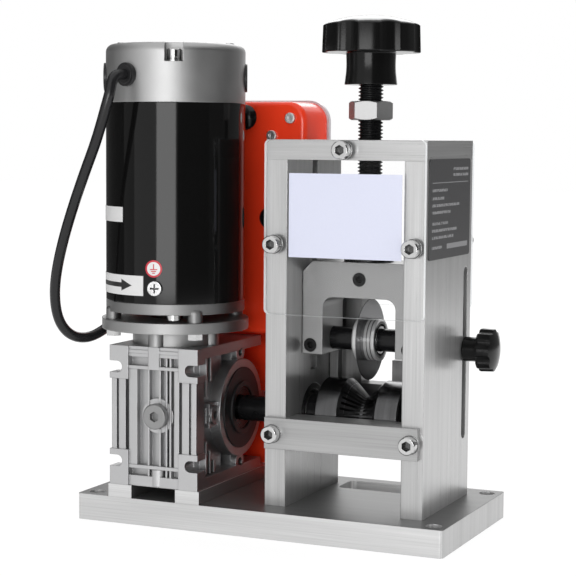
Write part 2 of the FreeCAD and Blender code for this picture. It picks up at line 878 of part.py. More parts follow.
def worm_thread():
    """One thread of the worm, swept along its helix round the vertical shaft."""
    low = axis_z - worm_turns / 2 * thread_lead
    helix = Part.makeHelix(thread_lead, worm_turns * thread_lead, worm_pitch_radius)
    half_pitch = thread_lead / 4
    inner = worm_root_radius - 0.4
    points = [
        Vector(inner, 0, -half_pitch - 0.55),
        Vector(worm_tip_radius, 0, -half_pitch + 0.55),
        Vector(worm_tip_radius, 0, half_pitch - 0.55),
        Vector(inner, 0, half_pitch + 0.55),
        Vector(inner, 0, -half_pitch - 0.55),
    ]
    profile = Part.makePolygon(points)
    sweep = Part.Wire(helix).makePipeShell([profile], True, True)
    sweep.translate(Vector(motor_x, worm_y, low))
    return sweep


def worm_shaft():
    """Hollow-ended worm shaft that takes the motor's shaft."""
    low = gear_bottom + 4.5
    top = gear_top + 4.0
    parts = [
        z_rod(motor_x, worm_y, low, low + worm_low_bearing[2] + 1.0, worm_low_bearing[1]),
        z_rod(motor_x, worm_y, low + worm_low_bearing[2], top, worm_root_radius),
        z_rod(motor_x, worm_y, gear_top - worm_journal_length, top, worm_high_bearing[1]),
    ]
    body = join(parts).fuse(worm_thread())
    bore = z_rod(motor_x, worm_y, gear_top - worm_journal_length + 2.0, top + 1.0, motor_bearing[1] + 0.02)
    return body.cut(bore)


def input_flange():
    """Round flange with a necked stand and four bosses, between gearbox and motor."""
    plate = z_rod(motor_x, worm_y, flange_bottom, flange_top, input_flange_radius)
    neck = z_rod(motor_x, worm_y, gear_top, flange_bottom, input_neck_radius)
    parts = [plate, neck]
    for count in range(4):
        place = around(motor_x, worm_y, input_neck_radius - 1.5, 90.0 * count, gear_top)
        parts.append(z_rod(place.x, place.y, gear_top, flange_bottom, 4.8))
    tools = [z_rod(motor_x, worm_y, gear_top - 1.0, flange_top + 1.0, worm_high_bearing[0] - 2.0)]
    for place in flange_bolt_places(0):
        tools.append(z_rod(place.x, place.y, flange_bottom, flange_top, 2.5 + screw_clearance))
    return cut_all(join(parts), tools)


def flange_bolt_places(z):
    """The four bolts between the input flange and the motor's lower cap."""
    reach = motor_radius - motor_foot_inset
    return [around(motor_x, worm_y, reach, lug_angle + 90 * count, z) for count in range(4)]


def flange_bolts():
    """Bolts up through the flange into the motor's feet."""
    bolts = []
    for place in flange_bolt_places(flange_bottom):
        head = hexagon(place - Vector(0, 0, 3.5), "Z", 8.0, 3.5)
        shank = z_rod(place.x, place.y, flange_bottom - 0.5, lower_cap_bottom + motor_bolt_depth, 2.5)
        bolts.append(join([head, shank]))
    return group(bolts)


def motor_foot(place):
    """A round foot under the motor that stands a little proud of the cap, with a rounded top."""
    top = lower_cap_bottom + motor_foot_rise
    foot = z_rod(place.x, place.y, flange_top, top, motor_foot_radius)
    return foot.makeFillet(motor_foot_round, [edge for edge in foot.Edges if len(edge.Vertexes) == 1
                                              and abs(edge.CenterOfMass.z - top) < 0.01])


def motor_lower_cap():
    """Die cast ring under the motor tube, with four feet and the lower bearing's seat."""
    ring = z_rod(motor_x, worm_y, lower_cap_bottom, tube_bottom, motor_radius)
    bore = motor_radius - motor_wall
    spigot = z_tube(motor_x, worm_y, tube_bottom - 1.0, tube_bottom + 3.0, bore, bore - 3.0)
    seat = z_rod(motor_x, worm_y, lower_cap_bottom, tube_bottom + 5.0, motor_bearing[0] + 3.0)
    parts = [ring, spigot, seat]
    tools = []
    for place in flange_bolt_places(flange_top):
        parts.append(motor_foot(place))
        tools.append(z_rod(place.x, place.y, flange_top, lower_cap_bottom + motor_bolt_depth + 0.2,
                           2.5 + screw_clearance))
    tools.append(z_rod(motor_x, worm_y, lower_cap_bottom - 1.0, lower_cap_bottom + motor_bearing[2],
                       motor_bearing[0]))
    tools.append(z_rod(motor_x, worm_y, lower_cap_bottom, tube_bottom + 6.0, motor_bearing[1] + 3.0))
    for place in through_bolt_places(0):
        tools.append(z_rod(place.x, place.y, lower_cap_bottom - 1.0, tube_bottom + 6.0,
                           2.0 + screw_clearance))
    return cut_all(join(parts), tools)


def motor_tube():
    """The motor's black steel tube, with the earth screw's hole."""
    tube = z_tube(motor_x, worm_y, tube_bottom, tube_top, motor_radius, motor_radius - motor_wall)
    hole = x_rod(motor_x + motor_radius - motor_wall - 2.0, motor_x + motor_radius + 2.0, worm_y,
                 tube_bottom + earth_screw_height, 2.0 + screw_clearance)
    return tube.cut(turned(hole, Vector(motor_x, worm_y, 0), Vector(0, 0, 1), earth_screw_angle))


def through_bolt_places(z):
    """The two long bolts that hold the motor together."""
    reach = motor_radius - motor_wall - 2.8
    return [around(motor_x, worm_y, reach, bolt_angle + 180 * count, z) for count in range(2)]


def motor_top_cap():
    """Cast cup on top of the motor, with two bolt notches and the upper bearing's seat."""
    cup = z_rod(motor_x, worm_y, tube_top, cap_top, motor_radius)
    cup = cup.makeFillet(cap_edge_radius,
                         [edge for edge in cup.Edges if abs(edge.CenterOfMass.z - cap_top) < 0.01
                                           and len(edge.Vertexes) == 1])
    hollow = z_rod(motor_x, worm_y, tube_top, cap_top - cap_wall, motor_radius - cap_wall - 1.0)
    seat = z_rod(motor_x, worm_y, cap_top - cap_wall - 2.0 - motor_bearing[2], cap_top - cap_wall + 1.0,
                 motor_bearing[0] + 3.0)
    cup = join([cup.cut(hollow), seat])
    tools = [z_rod(motor_x, worm_y, cap_top - cap_wall - 2.0 - motor_bearing[2], cap_top - cap_wall - 2.0,
                   motor_bearing[0])]
    centre = Vector(motor_x, worm_y, 0)
    notch_floor = cap_top - notch_depth
    for count in range(2):
        notch = box(motor_x + motor_radius - 10.6, motor_x + motor_radius + 5.0, worm_y - 5.0, worm_y + 5.0,
                    notch_floor, cap_top + 1.0)
        tools.append(turned(notch, centre, Vector(0, 0, 1), bolt_angle + 180 * count))
    for place in through_bolt_places(0):
        tools.append(z_rod(place.x, place.y, tube_top - 1.0, notch_floor + 1.0, 2.0 + screw_clearance))
    for place in cap_screw_places():
        tools.append(z_rod(place.x, place.y, cap_top - 3.1, cap_top + 1.0, 1.5 + screw_clearance))
    pads = []
    for count in range(2):
        pad = box(motor_x + motor_radius - 13.0, motor_x + motor_radius - 2.0, worm_y - 7.0, worm_y + 7.0,
                  notch_floor - 3.0, cap_top - cap_wall)
        pads.append(turned(pad, centre, Vector(0, 0, 1), bolt_angle + 180 * count))
        hole = x_rod(motor_x + motor_radius - 16.0, motor_x + motor_radius + 1.0, worm_y,
                     tube_top + brush_height,
                     brush_cap_radius - 2.0)
        tools.append(turned(hole, centre, Vector(0, 0, 1), bolt_angle + 90 + 180 * count))
    hole = x_rod(motor_x + motor_radius - 8.0, motor_x + motor_radius + 1.0, worm_y,
                 tube_top + grommet_height,
                 grommet_radius - 1.5)
    tools.append(turned(hole, centre, Vector(0, 0, 1), grommet_angle))
    return cut_all(join([cup] + pads), tools)


def motor_screws():
    """Two long bolts with washers in the top cap's notches and nuts below, and two small screws on top."""
    screws = []
    seat = cap_top - notch_depth
    nut_bottom = lower_cap_bottom - through_nut_height
    for place in through_bolt_places(seat):
        plain = z_tube(place.x, place.y, seat, seat + 1.0, 4.4, 2.05)
        spring = z_tube(place.x, place.y, seat + 1.0, seat + 2.2, 4.0, 2.05)
        base = Vector(place.x, place.y, seat + 2.2)
        nut = z_tube(place.x, place.y, nut_bottom, lower_cap_bottom, through_nut_radius, 2.05)
        bolt = cap_screw(base, Vector(0, 0, 1), 4.1, 4.6, 2.0, base.z - nut_bottom, 1.6)
        screws += [plain, spring, bolt, nut]
    for place in cap_screw_places():
        screws.append(cap_screw(Vector(place.x, place.y, cap_top), Vector(0, 0, 1), 2.6, 1.2, 1.5, 3.0,
                                1.1))
    return group(screws)


def cap_screw_places():
    """The two small screws on the motor's top."""
    return [around(motor_x, worm_y, motor_radius - 9.0, bolt_angle + 88 + 180 * count,
                   0) for count in range(2)]


def motor_magnets():
    """Two curved magnets inside the tube."""
    outer = motor_radius - motor_wall
    ring = z_tube(motor_x, worm_y, tube_bottom + 18.0, tube_bottom + 18.0 + rotor_length + 10.0, outer,
                  outer - magnet_thickness)
    centre = Vector(motor_x, worm_y, 0)
    block = box(motor_x - 60.0, motor_x + 60.0, worm_y - 13.0, worm_y + 13.0, 0, tube_top + 10.0)
    block = turned(block, centre, Vector(0, 0, 1), bolt_angle)
    return group(ring.cut(block).Solids)


def armature():
    """Slotted rotor core on the motor's shaft."""
    low = tube_bottom + 23.0
    core = z_rod(motor_x, worm_y, low, low + rotor_length, rotor_radius)
    slots = []
    for count in range(12):
        slot = box(motor_x + rotor_radius - 9.0, motor_x + rotor_radius + 1.0, worm_y - 1.6, worm_y + 1.6,
                   low - 1.0, low + rotor_length + 1.0)
        slots.append(turned(slot, Vector(motor_x, worm_y, 0), Vector(0, 0, 1), 30.0 * count))
    core = cut_all(core, slots)
    shaft = z_rod(motor_x, worm_y, gear_top - 20.0, cap_top - cap_wall - 2.5, motor_bearing[1])
    return join([core, shaft])


def armature_copper():
    """End windings on both ends of the core, and the commutator."""
    low = tube_bottom + 23.0
    shaft = motor_bearing[1]
    lower = z_tube(motor_x, worm_y, low - 11.0, low, rotor_radius - 4.0, shaft + 4.0)
    upper = z_tube(motor_x, worm_y, low + rotor_length, low + rotor_length + 11.0, rotor_radius - 4.0,
                   shaft + 4.0)
    start = tube_top - 2.0
    commutator = z_tube(motor_x, worm_y, start, start + 18.0, commutator_radius, shaft)
    return group([lower, upper, commutator])


def carbon_brushes():
    """Two brushes that press on the commutator, with their springs' holders."""
    brushes = []
    centre = Vector(motor_x, worm_y, 0)
    z = tube_top + brush_height
    for count in range(2):
        brush = box(motor_x + commutator_radius + 0.2, motor_x + motor_radius - 15.0, worm_y - 3.0,
                    worm_y + 3.0,
                    z - 6.0, z + 2.0)
        holder = x_rod(motor_x + motor_radius - 15.0, motor_x + motor_radius - 1.0, worm_y, z,
                       brush_cap_radius - 2.0)
        brushes.append(turned(join([brush, holder]), centre, Vector(0, 0, 1),
                              bolt_angle + 90 + 180 * count))
    return group(brushes)


def brush_caps():
    """Slotted round caps over the brushes."""
    caps = []
    centre = Vector(motor_x, worm_y, 0)
    z = tube_top + brush_height
    for count in range(2):
        face = motor_x + motor_radius + brush_cap_rise
        cap = x_rod(motor_x + motor_radius - 1.0, face, worm_y, z, brush_cap_radius)
        slot = box(face - 0.6, face + 1.0, worm_y - 0.8, worm_y + 0.8, z - 10.0, z + 10.0)
        shell = z_rod(motor_x, worm_y, tube_top, cap_top, motor_radius)
        cap = cap.cut(slot).cut(shell)
        caps.append(turned(cap, centre, Vector(0, 0, 1), bolt_angle + 90 + 180 * count))
    return group(caps)


def cable_grommet():
    """Rubber bush where the cable leaves the motor's top cap."""
    z = tube_top + grommet_height
    centre = Vector(motor_x, worm_y, 0)
    flare = x_rod(motor_x + motor_radius - 1.0, motor_x + motor_radius + 2.0, worm_y, z, grommet_radius)
    flare = flare.cut(z_rod(motor_x, worm_y, tube_top, cap_top, motor_radius))
    body = x_rod(motor_x + motor_radius - 7.0, motor_x + motor_radius + grommet_rise, worm_y, z,
                 grommet_radius - 1.5)
    return turned(join([flare, body]), centre, Vector(0, 0, 1), grommet_angle)


def earth_screw():
    """Cross-head screw low on the motor's front."""
    z = tube_bottom + earth_screw_height
    surface = motor_x + motor_radius
    head = x_rod(surface - 0.5, surface + 2.6, worm_y, z, 4.0)
    head = head.cut(z_rod(motor_x, worm_y, tube_bottom, tube_top, motor_radius))
    shank = x_rod(surface - motor_wall, surface + 0.5, worm_y, z, 2.0)
    cross = join([
        box(surface + 1.2, surface + 4.0, worm_y - 2.5, worm_y + 2.5, z - 0.45, z + 0.45),
        box(surface + 1.2, surface + 4.0, worm_y - 0.45, worm_y + 0.45, z - 2.5, z + 2.5),
    ])
    screw = join([head, shank]).cut(cross)
    return turned(screw, Vector(motor_x, worm_y, 0), Vector(0, 0, 1), earth_screw_angle)


def sticker(start, end, z0, z1):
    """A thin curved label on the motor tube, between two angles."""
    ring = z_tube(motor_x, worm_y, z0, z1, motor_radius + sheet_thickness, motor_radius)
    reach = motor_radius + 10.0
    middle = (start + end) / 2
    half = math.radians(end - start) / 2
    corner = reach / math.cos(half)
    points = [
        Vector(motor_x, worm_y, z0 - 1.0),
        around(motor_x, worm_y, corner, middle - math.degrees(half), z0 - 1.0),
        around(motor_x, worm_y, corner, middle + math.degrees(half), z0 - 1.0),
        Vector(motor_x, worm_y, z0 - 1.0),
    ]
    wedge = Part.Face(Part.makePolygon(points)).extrude(Vector(0, 0, z1 - z0 + 2.0))
    return ring.common(wedge)


def motor_labels():
    """Blank rating label, arrow label and the round earth mark."""
    low = tube_bottom + rating_label_low
    rating = sticker(rating_label_angles[0], rating_label_angles[1], low, low + rating_label_height)
    low = tube_bottom + arrow_label_low
    arrow = sticker(arrow_label_angles[0], arrow_label_angles[1], low, low + arrow_label_height)
    z = tube_bottom + earth_mark_height
    reach = earth_mark_radius + 1.2
    disc = x_rod(motor_x + motor_radius - 3.0, motor_x + motor_radius + 3.0, worm_y, z, earth_mark_radius)
    ring = z_tube(motor_x, worm_y, z - reach, z + reach, motor_radius + sheet_thickness, motor_radius)
    mark = turned(disc, Vector(motor_x, worm_y, 0), Vector(0, 0, 1), earth_mark_angle).common(ring)
    return group([rating, arrow, mark])


def key_groove(side):
    """Vertical groove in a side plate's inner face, where the carriage's tongue slides."""
    wall = gap_left if side < 0 else gap_right
    x0, x1 = sorted((wall + side * key_groove_depth, wall - side * 1.0))
    half = key_groove_width / 2
    return box(x0, x1, axis_y - half, axis_y + half, base_top + key_groove_start, side_plate_top)


def plate_screw_holes():
    """Tapped holes in the side plates for the guards, the rest and the frame screws."""
    holes = []
    radius = cap_shank_radius + screw_clearance
    for x in plate_middles():
        holes.append(y_rod(x, guard_side_z(), frame_front - 1.0, frame_front + 12.0, radius))
        holes.append(y_rod(x, guard_side_z(), frame_back - 12.0, frame_back + 1.0, radius))
        holes.append(y_rod(x, rest_screw_z(), frame_front - 1.0, frame_front + 12.0, radius))
    for x, y in frame_screw_places():
        holes.append(z_rod(x, y, base_top - 1.0, base_top + 12.5, frame_screw_radius + screw_clearance))
        holes.append(z_rod(x, y, side_plate_top - 12.5, side_plate_top + 1.0,
                           frame_screw_radius + screw_clearance))
    return holes


def guard_side_z():
    """Height of the guard's side screws."""
    return guard_bottom + 39.0


def rest_screw_z():
    """Height of the wire rest's screws."""
    return rest_z_bottom + rest_height / 2


def left_side_plate():
    """Left frame plate with the shaft bearing's bore."""
    plate = box(frame_left, gap_left, frame_front, frame_back, base_top, side_plate_top)
    start = shaft_bearing_starts()[0]
    tools = [
        x_rod(start, gap_left + 1.0, axis_y, axis_z, shaft_bearing[0]),
        x_rod(frame_left - 1.0, start, axis_y, axis_z, shaft_bearing[0] - 5.0),
        key_groove(-1),
    ]
    return cut_all(plate, tools + plate_screw_holes())


def right_side_plate():
    """Right frame plate with a blind bearing bore and the long slot of the side knob."""
    plate = box(gap_right, frame_right, frame_front, frame_back, base_top, side_plate_top)
    low = base_top + slot_bottom + slot_width / 2
    high = base_top + slot_top - slot_width / 2
    half = slot_width / 2
    slot = join([
        box(gap_right - 1.0, frame_right + 1.0, slot_y - half, slot_y + half, low, high),
        x_rod(gap_right - 1.0, frame_right + 1.0, slot_y, low, half),
        x_rod(gap_right - 1.0, frame_right + 1.0, slot_y, high, half),
    ])
    start = shaft_bearing_starts()[1]
    tools = [slot, x_rod(gap_right - 1.0, start + shaft_bearing[2], axis_y, axis_z, shaft_bearing[0]),
             key_groove(1)]
    return cut_all(plate, tools + plate_screw_holes())


def top_plate():
    """Plate across the frame's top, with the pressure screw's hole."""
    plate = box(frame_left, frame_right, frame_front, frame_back, side_plate_top, frame_top)
    tools = [z_rod(frame_centre_x, screw_y, side_plate_top, frame_top, screw_radius + running_gap)]
    for x, y in frame_screw_places():
        tools.append(z_rod(x, y, side_plate_top, frame_top, frame_screw_radius + screw_clearance))
        tools.append(z_rod(x, y, frame_top - frame_head_height - 0.5, frame_top, frame_head_radius + 0.5))
    middle = side_plate_top + top_plate_thickness / 2
    radius = cap_shank_radius + screw_clearance
    tools.append(y_rod(frame_centre_x, middle, frame_front - 1.0, frame_front + 12.0, radius))
    tools.append(y_rod(frame_centre_x, middle, frame_back - 12.0, frame_back + 1.0, radius))
    return cut_all(plate, tools)


def guard_screw_places():
    """X and Z of each guard's three screws."""
    middle = side_plate_top + top_plate_thickness / 2
    return [(frame_centre_x, middle)] + [(x, guard_side_z()) for x in plate_middles()]


def clear_guard(y0, y1):
    """Clear plate over the upper half of the frame."""
    plate = box(frame_left, frame_right, y0, y1, guard_bottom, frame_top)
    plate = round_edges(plate, guard_corner, lambda edge: runs_along(edge, Vector(0, 1, 0)))
    holes = [y_rod(x, z, y0, y1, cap_shank_radius + screw_clearance) for x, z in guard_screw_places()]
    return cut_all(plate, holes)


def guard_label():
    """Blank label on the front guard."""
    x0 = frame_left + 15.0
    z1 = frame_top - label_top
    return box(x0, x0 + label_width, guard_face - sheet_thickness, guard_face, z1 - label_height, z1)


def wire_rest():
    """Angle bar on the frame's front with a ledge between the plates."""
    front = frame_front - rest_thickness
    left = frame_left + rest_inset
    face = box(left, left + rest_length, front, frame_front, rest_z_bottom, rest_z_top)
    ledge = box(gap_left + face_gap, gap_right - face_gap, front, frame_front + rest_ledge,
                rest_z_top - rest_thickness, rest_z_top)
    holes = [y_rod(x, rest_screw_z(), front, frame_front,
                   cap_shank_radius + screw_clearance) for x in plate_middles()]
    return cut_all(join([face, ledge]), holes)


def washered_screw(x, z, seat, out):
    """A socket cap screw on its washer, facing front or back."""
    direction = Vector(0, out, 0)
    washer = Part.makeCylinder(washer_radius, washer_thickness, Vector(x, seat, z), direction)
    washer = washer.cut(Part.makeCylinder(cap_shank_radius + screw_clearance, washer_thickness,
                                          Vector(x, seat, z),
                                          direction))
    under_head = Vector(x, seat + out * washer_thickness, z)
    screw = cap_screw(under_head, direction, cap_head_radius, cap_head_height, cap_shank_radius,
                      cap_shank_length + washer_thickness, cap_socket)
    return [washer, screw]


def cap_screws():
    """The guards' and the wire rest's screws."""
    pieces = []
    for x, z in guard_screw_places():
        pieces += washered_screw(x, z, guard_face, -1)
        pieces += washered_screw(x, z, frame_back + guard_thickness, 1)
    for x in plate_middles():
        pieces += washered_screw(x, rest_screw_z(), frame_front - rest_thickness, -1)
    return group(pieces)


def nameplate():
    """Blank plate on the right side plate."""
    z1 = frame_top - 10.0
    y0 = frame_front + 3.0
    plate = box(frame_right, frame_right + nameplate_thickness, y0, y0 + nameplate_width,
                z1 - nameplate_height, z1)
    return round_edges(plate, nameplate_corner, lambda edge: runs_along(edge, Vector(1, 0, 0)))


def drive_shaft():
    """Shaft from the gearbox's hub through both side plates."""
    thin = x_rod(gear_left + 2.0, gear_right + 3.0, axis_y, axis_z, hub_bore_radius)
    thick = x_rod(gear_right + 3.0, gap_right + shaft_bearing[2] - 0.5, axis_y, axis_z, shaft_radius)
    return join([thin, thick])


def feed_roller():
    """Steel roller with a toothed V groove for the wire."""
    radius = roller_radius
    half = roller_length / 2
    bottom = radius - groove_depth
    profile = [
        (shaft_radius, -half),
        (radius - 0.8, -half),
        (radius, -half + 0.8),
        (radius, -groove_half_width),
        (bottom, -0.8),
        (bottom, 0.8),
        (radius, groove_half_width),
        (radius, half - 0.8),
        (radius - 0.8, half),
        (shaft_radius, half),
    ]
    centre = Vector(frame_centre_x, axis_y, axis_z)
    roller = spun(profile, centre, "X")
    reach = groove_half_width - 1.6
    cuts = []
    for count in range(groove_teeth):
        notch = box(centre.x - reach, centre.x + reach, axis_y - groove_tooth_width / 2,
                    axis_y + groove_tooth_width / 2, axis_z + bottom - 0.9, axis_z + radius - 1.2)
        cuts.append(turned(notch, centre, Vector(1, 0, 0), 360.0 * count / groove_teeth))
    return cut_all(roller, cuts)


def shaft_collars():
    """Black collars between the roller and the two bearings."""
    left = x_tube(gap_left + face_gap, roller_left, axis_y, axis_z, collar_radius, shaft_radius)
    right = x_tube(roller_right, gap_right - face_gap, axis_y, axis_z, collar_radius, shaft_radius)
    return group([left, right])


def carriage():
    """Sliding bridge between the plates that carries the blade's arbor."""
    block = box(carriage_left, carriage_right, carriage_front, carriage_back, carriage_z, carriage_top)
    block = bevel_edges(block, carriage_chamfer, lambda edge: runs_along(edge, Vector(0, 1, 0))
                        and abs(edge.CenterOfMass.z - carriage_top) < 0.01)
    arch = box(carriage_left + carriage_leg, carriage_right - carriage_leg, carriage_front - 1.0,
               carriage_back + 1.0,
               carriage_z - 10.0, carriage_top - carriage_bridge)
    arch = round_edges(arch, carriage_corner, lambda edge: runs_along(edge, Vector(0, 1, 0)))
    half = key_groove_width / 2 - tongue_gap
    reach = key_groove_depth - tongue_gap
    tongues = [
        box(gap_left - reach, carriage_left + 1.0, axis_y - half, axis_y + half, carriage_z + 2.0,
            carriage_top - 7.0),
        box(carriage_right - 1.0, gap_right + reach, axis_y - half, axis_y + half, carriage_z + 2.0,
            carriage_top - 7.0),
    ]
    body = join([block.cut(arch)] + tongues)
    tools = [
        x_rod(carriage_left - 5.0, carriage_right + 5.0, axis_y, arbor_z, arbor_radius),
        z_rod(frame_centre_x, screw_y, pin_bottom, carriage_top, pin_radius + running_gap),
    ]
    for place in set_screw_places():
        tools.append(y_rod(place[0], place[1], carriage_front, set_screw_end(place), set_screw_radius))
    return cut_all(body, tools)


def set_screw_places():
    """X and Z of the set screws in the carriage: one for the screw's pin, two for the arbor."""
    leg = carriage_leg / 2
    pin_screw = (frame_centre_x, carriage_top - 9.5)
    return [pin_screw, (carriage_left + leg - 1.4, arbor_z - 3.0),
            (carriage_right - leg + 1.4, arbor_z - 3.0)]


def set_screw_end(place):
    """How far back a set screw reaches."""
    if place[1] > arbor_z:
        return screw_y - pin_radius + pin_neck_depth - 0.3
    return axis_y - arbor_radius


def carriage_set_screws():
    """Black socket set screws in the carriage's front."""
    screws = []
    for place in set_screw_places():
        end = set_screw_end(place)
        screw = y_rod(place[0], place[1], carriage_front + 0.4, end, set_screw_radius)
        socket = hexagon(Vector(place[0], carriage_front, place[1]), "Y", 3.6, 3.5)
        screw = screw.cut(socket)
        if place[1] < arbor_z:
            screw = screw.cut(x_rod(carriage_left, carriage_right, axis_y, arbor_z, arbor_radius))
        screws.append(screw)
    return group(screws)


def blade_arbor():
    """Black fixed arbor between the carriage's legs."""
    return x_rod(carriage_left, carriage_right, axis_y, arbor_z, arbor_radius)


def cutting_blade():
    """Thin round blade with a bevelled edge."""
    bore = blade_bearing[0] + 0.5
    profile = [
        (bore, -blade_thickness / 2),
        (blade_radius - blade_bevel * 3, -blade_thickness / 2),
        (blade_radius, blade_thickness / 2 - 0.2),
        (blade_radius, blade_thickness / 2),
        (bore, blade_thickness / 2),
    ]
    return spun(profile, Vector(frame_centre_x, axis_y, arbor_z), "X")


def blade_hub():
    """Two bright clamp rings on a sleeve, one each side of the blade."""
    bore = blade_bearing[0]
    left = blade_left_face - blade_hub_left
    right = blade_right_face + blade_hub_right
    outer = blade_hub_radius
    sleeve = x_tube(left, right, axis_y, arbor_z, bore + 0.5, bore)
    left_ring = x_tube(left, blade_left_face, axis_y, arbor_z, outer, bore)
    right_ring = x_tube(blade_right_face, right, axis_y, arbor_z, outer - 0.8, bore)
    grooves = []
    for share in (0.3, 0.65):
        x = blade_right_face + blade_hub_right * share
        grooves.append(x_tube(x - 0.3, x + 0.3, axis_y, arbor_z, outer, outer - 1.6))
    left_ring = bevel_edges(left_ring, 1.0, lambda edge: abs(edge.CenterOfMass.x - left) < 0.01
                            and edge.Length > 2 * math.pi * outer - 1.0)
    return cut_all(join([sleeve, left_ring, right_ring]), grooves)


def blade_bearings():
    """Two small bearings in the blade's hub: outer races and balls, then inner races."""
    outers = []
    inners = []
    starts = [blade_left_face - blade_hub_left, blade_right_face + blade_hub_right - blade_bearing[2]]
    for x in starts:
        fixed, moving = bearing_races(Vector(x, axis_y, arbor_z), Vector(1, 0, 0), blade_bearing)
        outers += fixed
        inners.append(moving)
    return group(outers), group(inners)


def thrust_disc():
    """Dark disc between the screw's shoulder and the carriage."""
    return z_tube(frame_centre_x, screw_y, carriage_top, disc_top - running_gap, thrust_disc_radius,
                  pin_radius + running_gap)


def pressure_screw():
    """Black threaded screw with a plain pin that sits in the carriage."""
    top = knob_hub_z + 12.0
    start = disc_top
    root = screw_radius - thread_depth
    profile = [(0.0, pin_bottom + 0.4), (pin_radius, pin_bottom + 0.4), (pin_radius, start), (root, start)]
    turns = int((knob_hub_z - 1.0 - start) / screw_pitch)
    flat = screw_pitch / 8
    for turn in range(turns):
        z = start + turn * screw_pitch
        profile.append((root, z + flat))
        profile.append((screw_radius, z + screw_pitch / 2 - flat / 2))
        profile.append((screw_radius, z + screw_pitch / 2 + flat / 2))
        profile.append((root, z + screw_pitch - flat))
    profile.append((root, top))
    profile.append((0.0, top))
    screw = spun(profile, Vector(frame_centre_x, screw_y, 0), "Z")
    neck_z = carriage_top - 9.5
    half = set_screw_radius + 0.3
    neck = z_tube(frame_centre_x, screw_y, neck_z - half, neck_z + half, pin_radius + 1.0,
                  pin_radius - pin_neck_depth)
    return screw.cut(neck)


def lock_nut():
    """Bright hexagon nut on the pressure screw, chamfered top and bottom."""
    corner = nut_flat / math.sqrt(3)
    place = Vector(frame_centre_x, screw_y, nut_z)
    prism = hexagon(place, "Z", nut_flat, nut_height, nut_angle)
    edge = 1.2
    profile = [
        (0.0, 0.0),
        (nut_flat / 2 - 0.3, 0.0),
        (corner + 0.2, edge),
        (corner + 0.2, nut_height - edge),
        (nut_flat / 2 - 0.3, nut_height),
        (0.0, nut_height),
    ]
    body = prism.common(spun(profile, place, "Z"))
    return body.cut(z_rod(frame_centre_x, screw_y, nut_z - 1.0, nut_z + nut_height + 1.0,
                          screw_radius + running_gap))


def lobed_disc(radius, lobes, scoop_radius, scoop_depth, height):
    """A round grip with scoops between its lobes, along +Z from the origin."""
    disc = Part.makeCylinder(radius, height)
    reach = radius + scoop_radius - scoop_depth
    scoops = []
    for count in range(lobes):
        turn = 2 * math.pi * (count + 0.5) / lobes
        place = Vector(reach * math.cos(turn), reach * math.sin(turn), -1.0)
        scoops.append(Part.makeCylinder(scoop_radius, height + 2.0, place))
    disc = cut_all(disc, scoops)
    return disc.makeFillet(0.8, [edge for edge in disc.Edges if runs_along(edge, Vector(0, 0, 1))])


def star_knob():
    """Black knob with seven lobes, a domed top and a flared hub."""
    grip = lobed_disc(knob_radius, knob_lobes, lobe_scoop_radius, lobe_scoop_depth,
                      knob_rim_height + knob_dome_height)
    rise = knob_dome_height
    sphere_radius = (knob_radius ** 2 + rise ** 2) / (2 * rise)
    top = knob_rim_height + knob_dome_height
    sphere = Part.makeSphere(sphere_radius, Vector(0, 0, top - sphere_radius))
    grip = grip.common(sphere)
    waist = knob_hub_radius - 0.9
    profile = [
        (0.0, -knob_hub_height),
        (knob_hub_radius + 0.2, -knob_hub_height),
        (knob_hub_radius + 0.2, -knob_hub_height + 0.6),
        (waist, -knob_hub_height * 0.5),
        (waist + 0.3, 0.5),
        (0.0, 0.5),
    ]
    hub = spun(profile, Vector(), "Z")
    knob = join([grip, hub])
    knob.rotate(Vector(), Vector(0, 0, 1), knob_turn)
    knob.translate(Vector(frame_centre_x, screw_y, knob_z))
    thread = z_rod(frame_centre_x, screw_y, knob_hub_z - 1.0, knob_hub_z + 12.0,
                   screw_radius - thread_depth)
    return knob.cut(thread)


def wire_guide():
    """Rear guide: a bar with a gate for the wire, an upright arm and a clamp block behind the slot."""
    front = guide_front
    back = front + guide_depth
    bottom = base_top + guide_bottom
    x0 = gap_left + guide_gap
    x1 = gap_right - guide_gap
    parts = [
        box(x0, x1, front, back, bottom, bottom + guide_floor),
        box(x0, x0 + guide_arm_width, front, back, bottom, bottom + guide_arm_height),
        box(x1 - guide_post_width, x1, front, back, bottom, bottom + guide_post_height),
        box(x1 - clamp_block_width, x1, front, back, bottom, bottom + clamp_block_height),
    ]
    groove_x = x0 + guide_arm_land
    tools = [
        x_rod(x1 - clamp_block_width + 1.0, x1 + 1.0, slot_y, stud_z, stud_radius + 0.02),
        box(groove_x, groove_x + guide_arm_groove, front - 1.0, front + guide_groove_depth, bottom + 6.0,
            bottom + guide_arm_height - 3.0),
    ]
    return cut_all(join(parts), tools)


def side_knob():
    """Lobed lock knob with its threaded stud through the slot."""
    grip = lobed_disc(side_knob_radius, side_knob_lobes, side_scoop_radius, side_scoop_depth,
                      side_knob_length)
    dome = Part.makeSphere(30.0, Vector(0, 0, side_knob_length + 0.6 - 30.0))
    grip = grip.common(dome)
    stem = z_rod(0, 0, -side_stem_length, 0.5, side_stem_radius)
    knob = join([grip, stem])
    knob.rotate(Vector(), Vector(0, 1, 0), 90)
    face = frame_right + face_gap
    knob.translate(Vector(face + side_stem_length, slot_y, stud_z))
    start = gap_right - guide_gap - clamp_block_width + 1.5
    stud = x_rod(start, face + side_stem_length + 2.0, slot_y, stud_z, stud_radius)
    return join([knob, stud])


def box_profile(x0, x1, y0, y1, z0, z1, corner):
    """A block whose edges along Y are rounded."""
    block = box(x0, x1, y0, y1, z0, z1)
    return round_edges(block, corner, lambda edge: runs_along(edge, Vector(0, 1, 0)))


